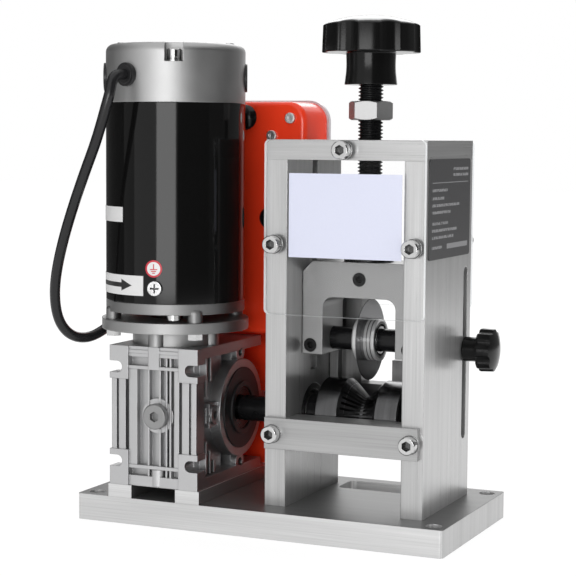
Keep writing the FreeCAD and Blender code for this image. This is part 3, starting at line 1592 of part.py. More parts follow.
def control_box():
    """Red shell, open at the back, with a narrower foot that stands on the base."""
    upper = box_profile(box_left, box_right, box_front, box_back, box_step_z, box_top, box_corner)
    upper = round_edges(upper, box_edge, lambda edge: abs(edge.CenterOfMass.y - box_front) < 0.01)
    lower = box(lower_left, lower_right, box_step_front, box_back, base_top, box_step_z + box_corner + 2.0)
    outside = join([upper, lower])
    wall = box_wall
    inner_upper = box_profile(box_left + wall, box_right - wall, box_front + wall, box_back + 1.0,
                              box_step_z + wall, box_top - wall, box_corner - wall)
    inner_lower = box(lower_left + wall, lower_right - wall, box_step_front + wall, box_back + 1.0,
                      base_top + wall, box_step_z + box_corner + 2.0)
    tools = [inner_upper, inner_lower]
    for place, radius in ((button_place, button_radius), (bush_place, bush_radius),
                          (gland_place, gland_radius)):
        tools.append(y_rod(place[0], place[1], box_front - 1.0, box_front + 5.0, radius - 1.5))
    for x, z in box_screw_places():
        tools.append(y_rod(x, z, box_front - 1.0, box_front + 5.0, 1.5 + screw_clearance))
    for x in box_foot_places():
        tools.append(z_rod(x, box_foot_y, base_top, base_top + 5.0, 2.0 + screw_clearance))
    return cut_all(outside, tools)


def box_screw_places():
    """X and Z of the screws in the box's front face."""
    x1 = box_right - box_screw_inset
    x0 = box_left + box_screw_inset
    z1 = box_top - box_screw_inset
    z0 = box_step_z + box_screw_inset
    return [(x1, z1), (x0, z1), (x0, z0 + low_screw_rise), (x1, z0), inner_screw_place]


def box_foot_places():
    """X of the screws that hold the box's foot to the base."""
    middle = (lower_left + lower_right) / 2
    return [middle - 34.0, middle + 34.0]


def control_box_screws():
    """Round head screws in the box's front and foot."""
    screws = []
    for x, z in box_screw_places():
        screws.append(cap_screw(Vector(x, box_front, z), Vector(0, -1, 0), box_screw_radius, 1.8, 1.5, 5.0,
                                1.3))
    for x in box_foot_places():
        place = Vector(x, box_foot_y, base_top + box_wall)
        screws.append(cap_screw(place, Vector(0, 0, 1), 3.6, 3.0, 2.0, box_wall, 1.5))
    return group(screws)


def control_box_back():
    """Pale back plate, a little larger than the shell."""
    margin = back_plate_margin
    plate = box_profile(box_left - margin, box_right + margin, box_back, box_back + back_plate_thickness,
                        box_step_z - margin, box_top + margin, box_corner + margin)
    foot = box(lower_left, lower_right, box_back, box_back + back_plate_thickness, base_top,
               box_step_z + box_corner)
    return join([plate, foot])


def power_button():
    """Domed push button in the box's front."""
    x, z = button_place
    dome = Part.makeSphere(button_radius * 1.25, Vector(x, box_front - 6.5 + button_radius * 1.25, z))
    head = y_rod(x, z, box_front - 6.5, box_front - button_travel - 0.3, button_radius).common(dome)
    stem = y_rod(x, z, box_front - button_travel - 0.5, box_front + 10.0, button_radius - 1.8)
    return join([head, stem])


def mains_bush():
    """Round inlet bush in the box's front."""
    x, z = bush_place
    face = box_front - 3.0
    flare = y_rod(x, z, face, box_front, bush_radius)
    rim = [edge for edge in flare.Edges if abs(edge.CenterOfMass.y - face) < 0.01 and len(edge.Vertexes) == 1]
    flare = flare.makeChamfer(1.0, rim)
    body = y_rod(x, z, box_front, box_front + 6.0, bush_radius - 1.5)
    return join([flare, body]).cut(y_rod(x, z, box_front - 4.0, box_front + 2.0, bush_radius - 3.2))


def cable_gland():
    """Gland on the box's front where the motor's cable goes in."""
    x, z = gland_place
    nut = hexagon(Vector(x, box_front - 4.0, z), "Y", 2 * gland_radius * 0.95, 4.0)
    dome = y_rod(x, z, box_front - gland_length, box_front - 4.0, gland_radius - 1.2)
    body = y_rod(x, z, box_front, box_front + 6.0, gland_radius - 1.5)
    return join([nut, dome, body])


def circuit_board():
    """Board on four posts inside the box, with rectifier, capacitors and relay."""
    y = box_back - board_from_back
    x0 = box_left + board_inset
    x1 = box_right - board_inset
    z0 = box_step_z + board_inset
    z1 = box_top - board_inset
    pieces = [box(x0, x1, y, y + board_thickness, z0, z1)]
    for x in (x0 + board_post_inset, x1 - board_post_inset):
        for z in (z0 + board_post_inset, z1 - board_post_inset):
            pieces.append(y_rod(x, z, y + board_thickness, box_back, 3.0))
    for count in range(2):
        x = x0 + capacitor_inset + capacitor_pitch * count
        pieces.append(y_rod(x, z0 + capacitor_rise, y - capacitor_length, y, capacitor_radius))
    pieces.append(box(x1 - 34.0, x1 - 8.0, y - 12.0, y, z0 + 12.0, z0 + 38.0))
    pieces.append(box(x0 + 12.0, x0 + 30.0, y - 14.0, y, z1 - 40.0, z1 - 14.0))
    return group(pieces)


def cable_points():
    """The cable's route, from the face of the motor's bush to just before the gland's nose."""
    height = tube_top + grommet_height
    face = motor_radius + grommet_rise
    start = around(motor_x, worm_y, face, grommet_angle, height)
    ahead = around(motor_x, worm_y, face + cable_start_run, grommet_angle, height)
    end = Vector(gland_place[0], box_front - gland_length - cable_end_gap, gland_place[1])
    before = end - Vector(0, cable_end_run, 0)
    return [start, ahead] + [Vector(*point) for point in cable_route] + [before, end]


def motor_cable():
    """Cable as straight runs joined by tangent arcs, from the motor to the control box."""
    points = cable_points()
    edges = []
    start = points[0]
    smallest = None
    for before, corner, after in zip(points, points[1:], points[2:]):
        into = (before - corner)
        out = (after - corner)
        run = min(into.Length, out.Length)
        into.normalize()
        out.normalize()
        half_turn = (math.pi - into.getAngle(out)) / 2
        setback = 0.45 * run
        radius = setback / math.tan(half_turn)
        smallest = radius if smallest is None else min(smallest, radius)
        first = corner + into * setback
        last = corner + out * setback
        bisector = (into + out).normalize()
        centre = corner + bisector * (radius / math.cos(half_turn))
        middle = centre - bisector * radius
        edges.append(Part.LineSegment(start, first).toShape())
        edges.append(Part.Arc(first, middle, last).toShape())
        start = last
        print("cable point", [round(value, 2) for value in corner], "radius", round(radius, 1))
    edges.append(Part.LineSegment(start, points[-1]).toShape())
    path = Part.Wire(edges)
    direction = (points[1] - points[0]).normalize()
    circle = Part.Wire(Part.Circle(points[0], direction, cable_radius).toShape())
    tube = path.makePipeShell([circle], True, False)
    length = path.Length
    print("cable ends", [round(value, 2) for value in (*points[0], *points[-1])])
    print("cable length", round(length, 1), "smallest radius", round(smallest, 1))
    print("cable volume", round(tube.Volume), "section times length",
          round(math.pi * cable_radius ** 2 * length))
    return tube


def build():
    """Every sub-part by its name."""
    drive_outers, drive_inners = drive_bearings()
    worm_outers, worm_inners = worm_bearings()
    blade_outers, blade_inners = blade_bearings()
    return {
        "base_plate": base_plate(),
        "gearbox_rails": gearbox_rails(),
        "gearbox_housing": gearbox_housing(),
        "gearbox_side_cover": gearbox_side_cover(),
        "gearbox_seals": gearbox_seals(),
        "gearbox_plug": gearbox_plug(),
        "drive_bearing_outers": drive_outers,
        "drive_bearing_inners": drive_inners,
        "worm_bearing_outers": worm_outers,
        "worm_bearing_inners": worm_inners,
        "worm_wheel": worm_wheel(),
        "worm_shaft": worm_shaft(),
        "input_flange": input_flange(),
        "flange_bolts": flange_bolts(),
        "motor_lower_cap": motor_lower_cap(),
        "motor_tube": motor_tube(),
        "motor_top_cap": motor_top_cap(),
        "motor_magnets": motor_magnets(),
        "armature": armature(),
        "armature_copper": armature_copper(),
        "carbon_brushes": carbon_brushes(),
        "brush_caps": brush_caps(),
        "motor_screws": motor_screws(),
        "cable_grommet": cable_grommet(),
        "earth_screw": earth_screw(),
        "motor_labels": motor_labels(),
        "motor_cable": motor_cable(),
        "left_side_plate": left_side_plate(),
        "right_side_plate": right_side_plate(),
        "top_plate": top_plate(),
        "frame_screws": frame_screws(),
        "front_guard": clear_guard(guard_face, frame_front - guard_gap),
        "rear_guard": clear_guard(frame_back + guard_gap, frame_back + guard_thickness),
        "guard_label": guard_label(),
        "wire_rest": wire_rest(),
        "cap_screws": cap_screws(),
        "nameplate": nameplate(),
        "drive_shaft": drive_shaft(),
        "feed_roller": feed_roller(),
        "shaft_collars": shaft_collars(),
        "carriage": carriage(),
        "carriage_set_screws": carriage_set_screws(),
        "thrust_disc": thrust_disc(),
        "blade_arbor": blade_arbor(),
        "blade_bearing_inners": blade_inners,
        "blade_bearing_outers": blade_outers,
        "blade_hub": blade_hub(),
        "cutting_blade": cutting_blade(),
        "pressure_screw": pressure_screw(),
        "lock_nut": lock_nut(),
        "star_knob": star_knob(),
        "wire_guide": wire_guide(),
        "side_knob": side_knob(),
        "control_box": control_box(),
        "control_box_back": control_box_back(),
        "control_box_screws": control_box_screws(),
        "power_button": power_button(),
        "mains_bush": mains_bush(),
        "cable_gland": cable_gland(),
        "circuit_board": circuit_board(),
    }


os.makedirs("parts", exist_ok=True)
for node, shape in build().items():
    shape.exportStep("parts/" + node + ".step")
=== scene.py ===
import math

import bmesh
import bpy
import numpy as np
from bpy.props import FloatProperty, FloatVectorProperty, IntProperty, PointerProperty
from mathutils import Matrix, Vector


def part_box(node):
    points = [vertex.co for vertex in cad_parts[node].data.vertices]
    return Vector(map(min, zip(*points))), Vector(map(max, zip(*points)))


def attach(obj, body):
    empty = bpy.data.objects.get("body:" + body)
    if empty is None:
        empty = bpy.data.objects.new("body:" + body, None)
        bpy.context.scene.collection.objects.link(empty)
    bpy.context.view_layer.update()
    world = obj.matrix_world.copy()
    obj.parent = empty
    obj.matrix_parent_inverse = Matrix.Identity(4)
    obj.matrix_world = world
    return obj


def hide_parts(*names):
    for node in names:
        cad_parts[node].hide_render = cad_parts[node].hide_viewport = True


bl_info = {
    "name": "Wire stripping machine",
    "version": (1, 0, 0),
    "blender": (4, 5, 0),
    "location": "3D View > Sidebar > Wire stripper",
    "description": "Dresses the packed wire stripping machine with finishes, threads, knobs and a studio",
    "category": "Object",
}

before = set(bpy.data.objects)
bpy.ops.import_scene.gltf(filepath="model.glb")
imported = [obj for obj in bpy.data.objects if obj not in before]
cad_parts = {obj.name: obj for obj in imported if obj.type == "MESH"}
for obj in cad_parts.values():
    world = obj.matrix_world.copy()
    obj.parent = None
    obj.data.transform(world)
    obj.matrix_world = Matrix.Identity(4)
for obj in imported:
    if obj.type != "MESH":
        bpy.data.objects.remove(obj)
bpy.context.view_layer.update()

MM = 0.001
white = (1.0, 1.0, 1.0)
# Width of the photograph, in pixels
photo_width = 576.0


def node_middle(node):
    """Middle of a CAD node's box."""
    low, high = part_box(node)
    return (low + high) / 2


def colour(name, words, default):
    """A colour setting."""
    return FloatVectorProperty(name=name, description=words, subtype="COLOR", size=3, min=0.0, max=1.0,
                               default=default)


def length(name, words, default):
    """A length setting in metres."""
    return FloatProperty(name=name, description=words, unit="LENGTH", default=default, min=0.0, precision=5)


class StripperColours(bpy.types.PropertyGroup):
    """Colours of the finishes"""

    plate: colour("Plate", "Brushed plates of the frame", (0.5, 0.5, 0.5))
    base: colour("Base", "Brushed base plate and rails", (0.6, 0.6, 0.6))
    casting: colour("Casting", "Cast gearbox", (0.5, 0.5, 0.505))
    flange: colour("Flange", "Cast input flange", (0.36, 0.36, 0.36))
    cap: colour("Motor cap", "Cast top cap of the motor", (0.46, 0.46, 0.46))
    lower_cap: colour("Motor foot", "Cast lower cap of the motor", (0.27, 0.27, 0.27))
    rest: colour("Wire rest", "Brushed angle bar of the wire rest", (0.38, 0.38, 0.38))
    # The wire guide's dark tone is a painted shade for where it stands deep inside the frame
    guide: colour("Wire guide", "Dull steel of the rear guide", (0.16, 0.16, 0.16))
    roller: colour("Roller", "Dark steel of the feed roller", (0.1, 0.1, 0.102))
    steel: colour("Steel", "Turned rings and shafts", (0.55, 0.55, 0.55))
    bright: colour("Plating", "Plated screws and nut", (0.58, 0.58, 0.58))
    oxide: colour("Oxide", "Black oxide on shafts and screws", (0.007, 0.007, 0.0075))
    motor: colour("Motor paint", "Gloss paint of the motor tube", (0.004, 0.004, 0.004))
    box: colour("Box", "Red shell of the control box", (1.0, 0.055, 0.016))
    back: colour("Box back", "Pale back plate of the control box", (0.66, 0.61, 0.64))
    plastic: colour("Plastic", "Black knobs and button", (0.005, 0.005, 0.005))
    rubber: colour("Rubber", "Seals, bushes and cable", (0.012, 0.012, 0.013))
    label: colour("Guard label", "Blank label on the guard", (0.65, 0.67, 0.8))
    sticker: colour("Sticker", "White labels on the motor", (0.68, 0.68, 0.68))
    nameplate: colour("Nameplate", "Dark plate on the frame", (0.04, 0.04, 0.042))
    nut: colour("Nut", "Dull plating of the lock nut", (0.5, 0.5, 0.5))
    plug: colour("Plug", "Steel of the gearbox plug", (0.3, 0.3, 0.3))
    blade: colour("Blade", "Ground faces of the round blade", (0.17, 0.17, 0.175))
    box_screw: colour("Box screws", "Pan heads of the control box", (0.75, 0.75, 0.75))
    magnet: colour("Magnet", "Ferrite magnets and carbon brushes", (0.09, 0.09, 0.095))
    armature: colour("Armature", "Steel of the armature", (0.3, 0.3, 0.31))
    bronze: colour("Bronze", "Worm wheel", (0.55, 0.33, 0.12))
    wheel_hub: colour("Wheel hub", "Dark hub of the worm wheel", (0.012, 0.012, 0.012))
    copper: colour("Copper", "Windings", (0.6, 0.25, 0.1))
    board: colour("Board", "Circuit board", (0.02, 0.16, 0.06))


class StripperSizes(bpy.types.PropertyGroup):
    """Sizes of the pieces shaped here"""

    knob_radius: length("Knob radius", "Outer radius of the star knob", 0.0276)
    knob_lobes: IntProperty(name="Knob lobes", description="Lobes round the star knob", default=7, min=3)
    knob_turn: FloatProperty(name="Knob turn", description="Turn of the star knob's lobes, in degrees",
                             default=-20.5)
    knob_rim: length("Knob rim", "Height of the star knob's rim", 0.0156)
    knob_dome: length("Knob dome", "Rise of the star knob's domed top", 0.0051)
    knob_hub: length("Knob hub", "Height of the star knob's hub", 0.0178)
    hub_radius: length("Hub radius", "Radius of the star knob's hub", 0.0146)
    scoop_radius: length("Scoop radius", "Radius of the scoops between the star knob's lobes", 0.0095)
    scoop_depth: length("Scoop depth", "Depth of the scoops between the star knob's lobes", 0.003)
    screw_radius: length("Screw radius", "Crest radius of the pressure screw", 0.007)
    screw_depth: length("Thread depth", "Depth of the pressure screw's thread", 0.0011)
    screw_pitch: length("Thread pitch", "Pitch of the pressure screw", 0.002)
    pin_radius: length("Pin radius", "Radius of the pressure screw's plain pin", 0.005)
    side_radius: length("Side knob radius", "Outer radius of the side knob", 0.0123)
    side_lobes: IntProperty(name="Side knob lobes", description="Lobes round the side knob", default=8, min=3)
    side_grip: length("Side knob grip", "Thickness of the side knob's grip", 0.0106)
    side_stem: length("Side knob stem", "Radius of the side knob's stem", 0.007)
    side_scoop: length("Side scoop radius", "Radius of the scoops round the side knob", 0.004)
    side_depth: length("Side scoop depth", "Depth of the scoops round the side knob", 0.0013)
    stud_radius: length("Stud radius", "Radius of the side knob's stud", 0.0034)
    cable_diameter: length("Cable diameter", "Diameter of the motor's cable", 0.006)
    edge: length("Edge radius", "Softness of the edges of machined plates", 0.0005)
    tube_radius: length("Tube radius", "Outer radius of the motor's tube", 0.0396)
    wheel_core: length("Wheel core", "Radius of the worm wheel's dark hub and shaft", 0.0127)


class StripperStudio(bpy.types.PropertyGroup):
    """Camera and lights"""

    camera_place: FloatVectorProperty(name="Camera", description="Where the camera stands", unit="LENGTH",
                                      size=3, default=(0.3955, -0.8996, 0.2209))
    turn: FloatProperty(name="Turn", description="Camera's turn to the left, in degrees", default=23.937)
    tilt: FloatProperty(name="Tilt", description="Camera's tilt down, in degrees", default=5.04)
    roll: FloatProperty(name="Roll", description="Camera's roll, in degrees", default=0.43)
    focus: FloatProperty(name="Focal length", description="In pixels of the photograph's frame",
                         default=1713.8)
    world: FloatProperty(name="World", description="Strength of the even light", default=0.85, min=0.0)
    strip: FloatProperty(name="Front strip", description="Power in watts", default=4.3, min=0.0)
    softbox: FloatProperty(name="Back softbox", description="Power in watts", default=8.0, min=0.0)
    rim: FloatProperty(name="Side light", description="Power in watts", default=3.0, min=0.0)
    card_reach: FloatProperty(name="Card distance", description="How far away the dark cards stand",
                              unit="LENGTH", default=1.3)


class Signal:
    """An output of a shader node. Used in an expression, it adds Math nodes."""

    def __init__(self, finish, socket):
        self.finish = finish
        self.socket = socket

    def maths(self, operation, *others):
        """One Math node with this signal first."""
        return self.finish.node("ShaderNodeMath", {"operation": operation}, [self, *others])

    def __add__(self, other):
        return self.maths("ADD", other)

    __radd__ = __add__

    def __sub__(self, other):
        return self.maths("SUBTRACT", other)

    def __rsub__(self, other):
        return self.finish.node("ShaderNodeMath", {"operation": "SUBTRACT"}, [other, self])

    def __mul__(self, other):
        return self.maths("MULTIPLY", other)

    __rmul__ = __mul__

    def __truediv__(self, other):
        return self.maths("DIVIDE", other)

    def __pow__(self, other):
        return self.maths("POWER", other)

    def __gt__(self, other):
        return self.maths("GREATER_THAN", other)

    def __lt__(self, other):
        return self.maths("LESS_THAN", other)

    def __abs__(self):
        return self.maths("ABSOLUTE")


class Finish:
    """A new material, or a new world, and its nodes."""

    def __init__(self, name, world=False):
        self.owner = bpy.data.worlds.new(name) if world else bpy.data.materials.new(name)
        self.owner.use_nodes = True
        self.tree = self.owner.node_tree
        self.tree.nodes.clear()
        self.output = self.tree.nodes.new("ShaderNodeOutputWorld" if world else "ShaderNodeOutputMaterial")

    def node(self, kind, settings=None, inputs=None, output=0):
        """Any node: its type, its settings first, then values or signals for its sockets."""
        made = self.tree.nodes.new(kind)
        for key, value in (settings or {}).items():
            setattr(made, key, value)
        pairs = inputs.items() if isinstance(inputs, dict) else enumerate(inputs or [])
        for key, value in pairs:
            self.feed(made.inputs[key], value)
        return Signal(self, made.outputs[output])

    def feed(self, socket, value):
        """A value or a link into a socket."""
        if isinstance(value, Signal):
            self.tree.links.new(value.socket, socket)
        elif isinstance(socket.default_value, (int, float)):
            socket.default_value = value
        else:
            wanted = len(socket.default_value)
            level = [value] * 3 if isinstance(value, (int, float)) else list(value)
            socket.default_value = (level + [1.0])[:wanted]

    def place(self):
        """Object coordinates, in metres of the machine's own frame."""
        return self.node("ShaderNodeTexCoord", output="Object")

    def facing(self):
        """The surface's direction in object space."""
        return self.node("ShaderNodeTexCoord", output="Normal")

    def parts(self, vector):
        """The three parts of a vector."""
        split = self.node("ShaderNodeSeparateXYZ", inputs=[vector])
        return [Signal(self, split.socket.node.outputs[axis]) for axis in range(3)]

    def stretched(self, vector, scale, move=(0.0, 0.0, 0.0)):
        """A vector moved and scaled along its axes."""
        moved = self.node("ShaderNodeVectorMath", {"operation": "SUBTRACT"}, [vector, move])
        return self.node("ShaderNodeVectorMath", {"operation": "MULTIPLY"}, [moved, scale])

    def noise(self, vector, scale=1.0, detail=2.0, rough=0.5):
        """Fractal noise from 0 to 1. The scale is the count of its coarsest grains in a metre."""
        sockets = {"Vector": vector, "Scale": scale, "Detail": detail, "Roughness": rough}
        return self.node("ShaderNodeTexNoise", {}, sockets)

    def blend(self, factor, first, second):
        """Two colours mixed."""
        sockets = {0: factor, 6: first, 7: second}
        return self.node("ShaderNodeMix", {"data_type": "RGBA"}, sockets, output=2)

    def shade(self, tone, level):
        """A plain colour times a varying level."""
        grey = self.node("ShaderNodeCombineXYZ", {}, [level, level, level])
        return self.node("ShaderNodeVectorMath", {"operation": "MULTIPLY"}, [grey, tuple(tone)])

    def remap(self, value, start, end, low, high):
        """Low where the value is at its start, high where it is at its end, and even between."""
        return self.node("ShaderNodeMapRange", {}, [value, start, end, low, high])

    def soft_edges(self, radius):
        """The surface's direction, rounded near edges."""
        return self.node("ShaderNodeBevel", {"samples": 6}, {"Radius": radius})

    def painted_hollow_shade(self, reach, floor_level=0.0):
        """Painted shade in the piece's own hollows: from floor_level deep in a hollow of the piece itself to
        1 on its free faces.
        """
        settings = {"samples": 4, "only_local": True}
        free = self.node("ShaderNodeAmbientOcclusion", settings, {"Distance": reach}, output="AO")
        return free * (1.0 - floor_level) + floor_level

    def bump(self, height, distance, strength=1.0, normal=None):
        """Relief from a height signal."""
        sockets = {"Height": height, "Distance": distance, "Strength": strength}
        if normal is not None:
            sockets["Normal"] = normal
        return self.node("ShaderNodeBump", {}, sockets)

    def close(self, shader):
        """Sends a shader to the output and gives the material or world."""
        self.tree.links.new(shader.socket, self.output.inputs["Surface"])
        return self.owner

    def surface(self, **sockets):
        """Closes with the principled shader, from values or signals for its named sockets."""
        names = {key.replace("_", " ").title().replace("Ior", "IOR"): value for key, value in sockets.items()}
        return self.close(self.node("ShaderNodeBsdfPrincipled", {}, names, output="BSDF"))

    def directly_seen(self):
        """1 for rays of the camera, gloss and glass, and 0 for others."""
        seen = self.node("ShaderNodeLightPath", output="Is Camera Ray")
        rays = seen.socket.node.outputs
        for kind in ("Is Glossy Ray", "Is Transmission Ray"):
            seen = seen.maths("MAXIMUM", Signal(self, rays[kind]))
        return seen


# Scales of the brushing's streaks across it and along it, per metre
fine_streaks = (1500.0, 14.0)
wide_streaks = (160.0, 5.0)
# Part of a face's direction along an axis, above which the face counts as looking along it
looks_along = 0.6


def brushed(name, tone, grain, rough=0.34, edge=0.5 * MM, contrast=0.46, faces=(1.0, 1.0, 1.0), inside=None,
            metal=0.75):
    """Brushed metal. The grain gives the brushing's axis on faces that look along X, Y and Z, and faces a
    painted light and shade for faces that look along each of them. Hollows of the piece get a painted shade.
    Inside is a pair of places along X. Between them a painted shade darkens the metal towards the back, and
    less so near the top."""
    finish = Finish(name)
    place = finish.place()
    sides = [abs(part) for part in finish.parts(finish.facing())]
    streaks = 0.0
    broad = 0.0
    painted_face_shade = 0.0
    for axis in range(3):
        fine = [fine_streaks[0]] * 3
        wide = [wide_streaks[0]] * 3
        run = "XYZ".index(grain[axis])
        fine[run] = fine_streaks[1]
        wide[run] = wide_streaks[1]
        mask = sides[axis] > looks_along
        streaks = streaks + mask * finish.noise(finish.stretched(place, fine), detail=3.0, rough=0.6)
        broad = broad + mask * finish.noise(finish.stretched(place, wide), detail=2.0)
        # Painted light and shade by the way a face looks, from faces
        painted_face_shade = painted_face_shade + mask * (faces[axis] - 1.0)
    # The mean of both noises is taken off, so that the grain leaves the tone's own level
    level = (1.0 + contrast * (streaks + broad * 0.8 - 0.9)) * (1.0 + painted_face_shade)
    # Painted shade in the piece's own hollows
    level = level * finish.painted_hollow_shade(6.0 * MM, 0.35)
    # Painted shade between the plates, darker towards the back and less so near the top
    if inside:
        x, y, z = finish.parts(place)
        depth = finish.remap(y, -36.0 * MM, 12.0 * MM, 0.2, 0.55)
        shade_fading = finish.remap(z, 150.0 * MM, 200.0 * MM, 1.0, 0.2)
        level = level * (1.0 - depth * shade_fading * (x > inside[0]) * (x < inside[1]))
    grit = 0.75 + 0.5 * streaks
    relief = finish.bump(streaks, 0.03 * MM, 0.5, finish.soft_edges(edge))
    return finish.surface(base_color=finish.shade(tone, level), metallic=metal, roughness=rough * grit,
                          normal=relief)


def cast(name, tone, rough=0.42, grain=0.08 * MM, edge=0.6 * MM, flank_shade=1.0):
    """Sand-blasted casting: fine pits, soft edges and faint clouds, with a painted shade in its hollows. The
    flank is a painted shade on faces that look along X."""
    finish = Finish(name)
    place = finish.place()
    pits = finish.noise(place, scale=2600.0, detail=2.0)
    clouds = finish.noise(place, scale=70.0, detail=3.0)
    # Painted shade on faces that look along X, and painted shade in the piece's own hollows
    side = abs(finish.parts(finish.facing())[0]) > 0.8
    painted_flank_shade = 1.0 + side * (flank_shade - 1.0)
    level = (0.88 + 0.16 * clouds + 0.1 * pits) * finish.painted_hollow_shade(7.0 * MM, 0.7) * painted_flank_shade
    relief = finish.bump(pits, grain, 0.7, finish.soft_edges(edge))
    return finish.surface(base_color=finish.shade(tone, level), metallic=1.0,
                          roughness=rough + 0.12 * (clouds - 0.5), normal=relief)


# Scales of the rings that turning leaves, per metre
fine_rings = 3000.0
wide_rings = 400.0


def turned(name, tone, centre, axis, rough=0.25, contrast=0.25, edge=0.3 * MM, core=None, metal=1.0):
    """Turned metal: rings about an axis, by the distance from it and the place along it. A core is a
    radius and the colour within it."""
    finish = Finish(name)
    parts = finish.parts(finish.stretched(finish.place(), (1.0, 1.0, 1.0), centre))
    along = parts["XYZ".index(axis)]
    across = [part for part, letter in zip(parts, "XYZ") if letter != axis]
    radius = (across[0] * across[0] + across[1] * across[1]) ** 0.5
    near = finish.node("ShaderNodeCombineXYZ", {}, [radius * fine_rings, along * fine_rings, 0.0])
    far = finish.node("ShaderNodeCombineXYZ", {}, [radius * wide_rings, along * wide_rings, 3.0])
    rings = finish.noise(near, detail=3.0)
    wide = finish.noise(far, detail=2.0)
    # Painted shade in the piece's own hollows
    level = (1.0 + contrast * (rings + wide - 1.0)) * finish.painted_hollow_shade(5.0 * MM, 0.25)
    tint = finish.shade(tone, level)
    if core:
        tint = finish.blend(radius < core[0], tint, core[1])
    relief = finish.bump(rings, 0.02 * MM, 0.6, finish.soft_edges(edge))
    return finish.surface(base_color=tint, metallic=metal, roughness=rough * (0.7 + 0.6 * wide),
                          normal=relief)


def plated(name, tone, rough=0.12, spread=0.14):
    """Bright plating with faint smudges, and a strong painted shade in its hollows such as screw sockets."""
    finish = Finish(name)
    smudge = finish.noise(finish.place(), scale=350.0, detail=3.0)
    grit = finish.noise(finish.place(), scale=900.0)
    relief = finish.bump(grit, 0.01 * MM, 0.5, finish.soft_edges(0.35 * MM))
    # Painted shade in hollows, made stronger by the power
    level = (0.9 + 0.2 * smudge) * (finish.painted_hollow_shade(4.0 * MM) ** 2.4)
    return finish.surface(base_color=finish.shade(tone, level), metallic=1.0,
                          roughness=rough + spread * (smudge - 0.5), normal=relief)


def oxide(name, tone, rough=0.3):
    """Black oxide on steel: dark, with a dull sheen and small rubbed spots."""
    finish = Finish(name)
    spots = finish.noise(finish.place(), scale=1400.0, detail=3.0)
    clouds = finish.noise(finish.place(), scale=120.0)
    level = 0.7 + 0.6 * clouds
    relief = finish.bump(spots, 0.02 * MM, 0.5, finish.soft_edges(0.3 * MM))
    return finish.surface(base_color=finish.shade(tone, level), roughness=rough + 0.15 * (spots - 0.5),
                          normal=relief, ior=1.3)


def gloss(name, tone, rough=0.16, peel=0.02 * MM, coat=0.4, ior=1.45):
    """Gloss paint or moulded shell with a faint orange peel."""
    finish = Finish(name)
    peels = finish.noise(finish.place(), scale=420.0, detail=1.0)
    clouds = finish.noise(finish.place(), scale=30.0)
    relief = finish.bump(peels, peel, 0.6, finish.soft_edges(0.6 * MM))
    return finish.surface(base_color=finish.shade(tone, 0.96 + 0.08 * clouds),
                          roughness=rough + 0.05 * (clouds - 0.5), normal=relief, coat_weight=coat,
                          coat_roughness=0.05, ior=ior)


def moulded(name, tone, rough=0.3, ior=1.45):
    """Moulded plastic with a fine grain."""
    finish = Finish(name)
    grain = finish.noise(finish.place(), scale=2200.0, detail=2.0)
    clouds = finish.noise(finish.place(), scale=90.0)
    relief = finish.bump(grain, 0.03 * MM, 0.5, finish.soft_edges(0.5 * MM))
    return finish.surface(base_color=finish.shade(tone, 0.85 + 0.3 * clouds),
                          roughness=rough + 0.1 * (grain - 0.5), normal=relief, ior=ior)


def clear_sheet(name):
    """Clear acrylic: almost invisible faces, bright cut edges."""
    finish = Finish(name)
    side = abs(finish.parts(finish.facing())[1])
    cut_edge = side < 0.5
    faint = finish.noise(finish.place(), scale=60.0)
    tint = (0.93, 0.95, 0.96)
    return finish.surface(base_color=tint, roughness=0.12 + 0.1 * faint, specular_ior_level=0.3,
                          alpha=0.002 + 0.004 * faint + 0.9 * cut_edge)


def blank_label(name, tone):
    """Satin blank label."""
    finish = Finish(name)
    fibre = finish.noise(finish.place(), scale=1200.0, detail=2.0)
    relief = finish.bump(fibre, 0.01 * MM, 0.4)
    return finish.surface(base_color=finish.shade(tone, 0.98 + 0.04 * fibre), roughness=0.45,
                          normal=relief)


# Height, start and end of each dashed row on the nameplate, as shares of its own height and width
plate_rows = [
    (0.9, 0.56, 0.94),
    (0.84, 0.56, 0.94),
    (0.69, 0.06, 0.42),
    (0.61, 0.06, 0.34),
    (0.54, 0.06, 0.72),
    (0.47, 0.06, 0.5),
    (0.36, 0.06, 0.44),
    (0.29, 0.06, 0.66),
    (0.22, 0.06, 0.58),
    (0.12, 0.06, 0.3),
]
plate_rule = (0.765, 0.06, 0.94)
plate_bar = (0.12, 0.42, 0.94)


def ruled_plate(name, tone):
    """Dark satin plate with rows of plain dashes, a thin rule and a pale bar."""
    finish = Finish(name)
    low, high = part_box("nameplate")
    y, z = finish.parts(finish.place())[1:]
    across = (y - low.y) / (high.y - low.y)
    up = (z - low.z) / (high.z - low.z)

    def band(line, half):
        """1 on a line of the plate, up to half its thickness away."""
        height, start, end = line
        return (abs(up - height) < half) * (across > start) * (across < end)

    dashes = finish.noise(finish.stretched(finish.place(), (0.0, 900.0, 420.0)), detail=1.0) > 0.42
    lines = band(plate_rule, 0.004) + band(plate_bar, 0.026)
    for row in plate_rows:
        lines = lines + band(row, 0.014) * dashes
    fibre = finish.noise(finish.place(), scale=900.0, detail=2.0)
    ink = (0.35, 0.35, 0.36)
    tint = finish.blend(lines * 0.6, finish.shade(tone, 0.9 + 0.2 * fibre), ink)
    relief = finish.bump(fibre, 0.01 * MM, 0.4, finish.soft_edges(0.3 * MM))
    return finish.surface(base_color=tint, roughness=0.4, normal=relief)


def arrow_mask(run, z):
    """The arrow on the lower label: a tail of even height and a head that narrows to its tip."""
    tail_start = -60.0 * MM
    head_start = -14.8 * MM
    head_tip = -6.8 * MM
    middle = 10.05 * MM
    half_tail = 1.3 * MM
    head_slope = 0.42
    label_top = 16.5 * MM
    up = abs(z - middle)
    tail = (up < half_tail) * (run < head_start) * (run > tail_start)
    head = (up < (head_tip - run) * head_slope) * (run > head_start)
    return (tail + head) * (z < label_top)


# Height and half length of each bar of the earth mark, from its middle
earth_bars = [
    (-0.4 * MM, 2.1 * MM),
    (-1.4 * MM, 1.5 * MM),
    (-2.4 * MM, 0.8 * MM),
]


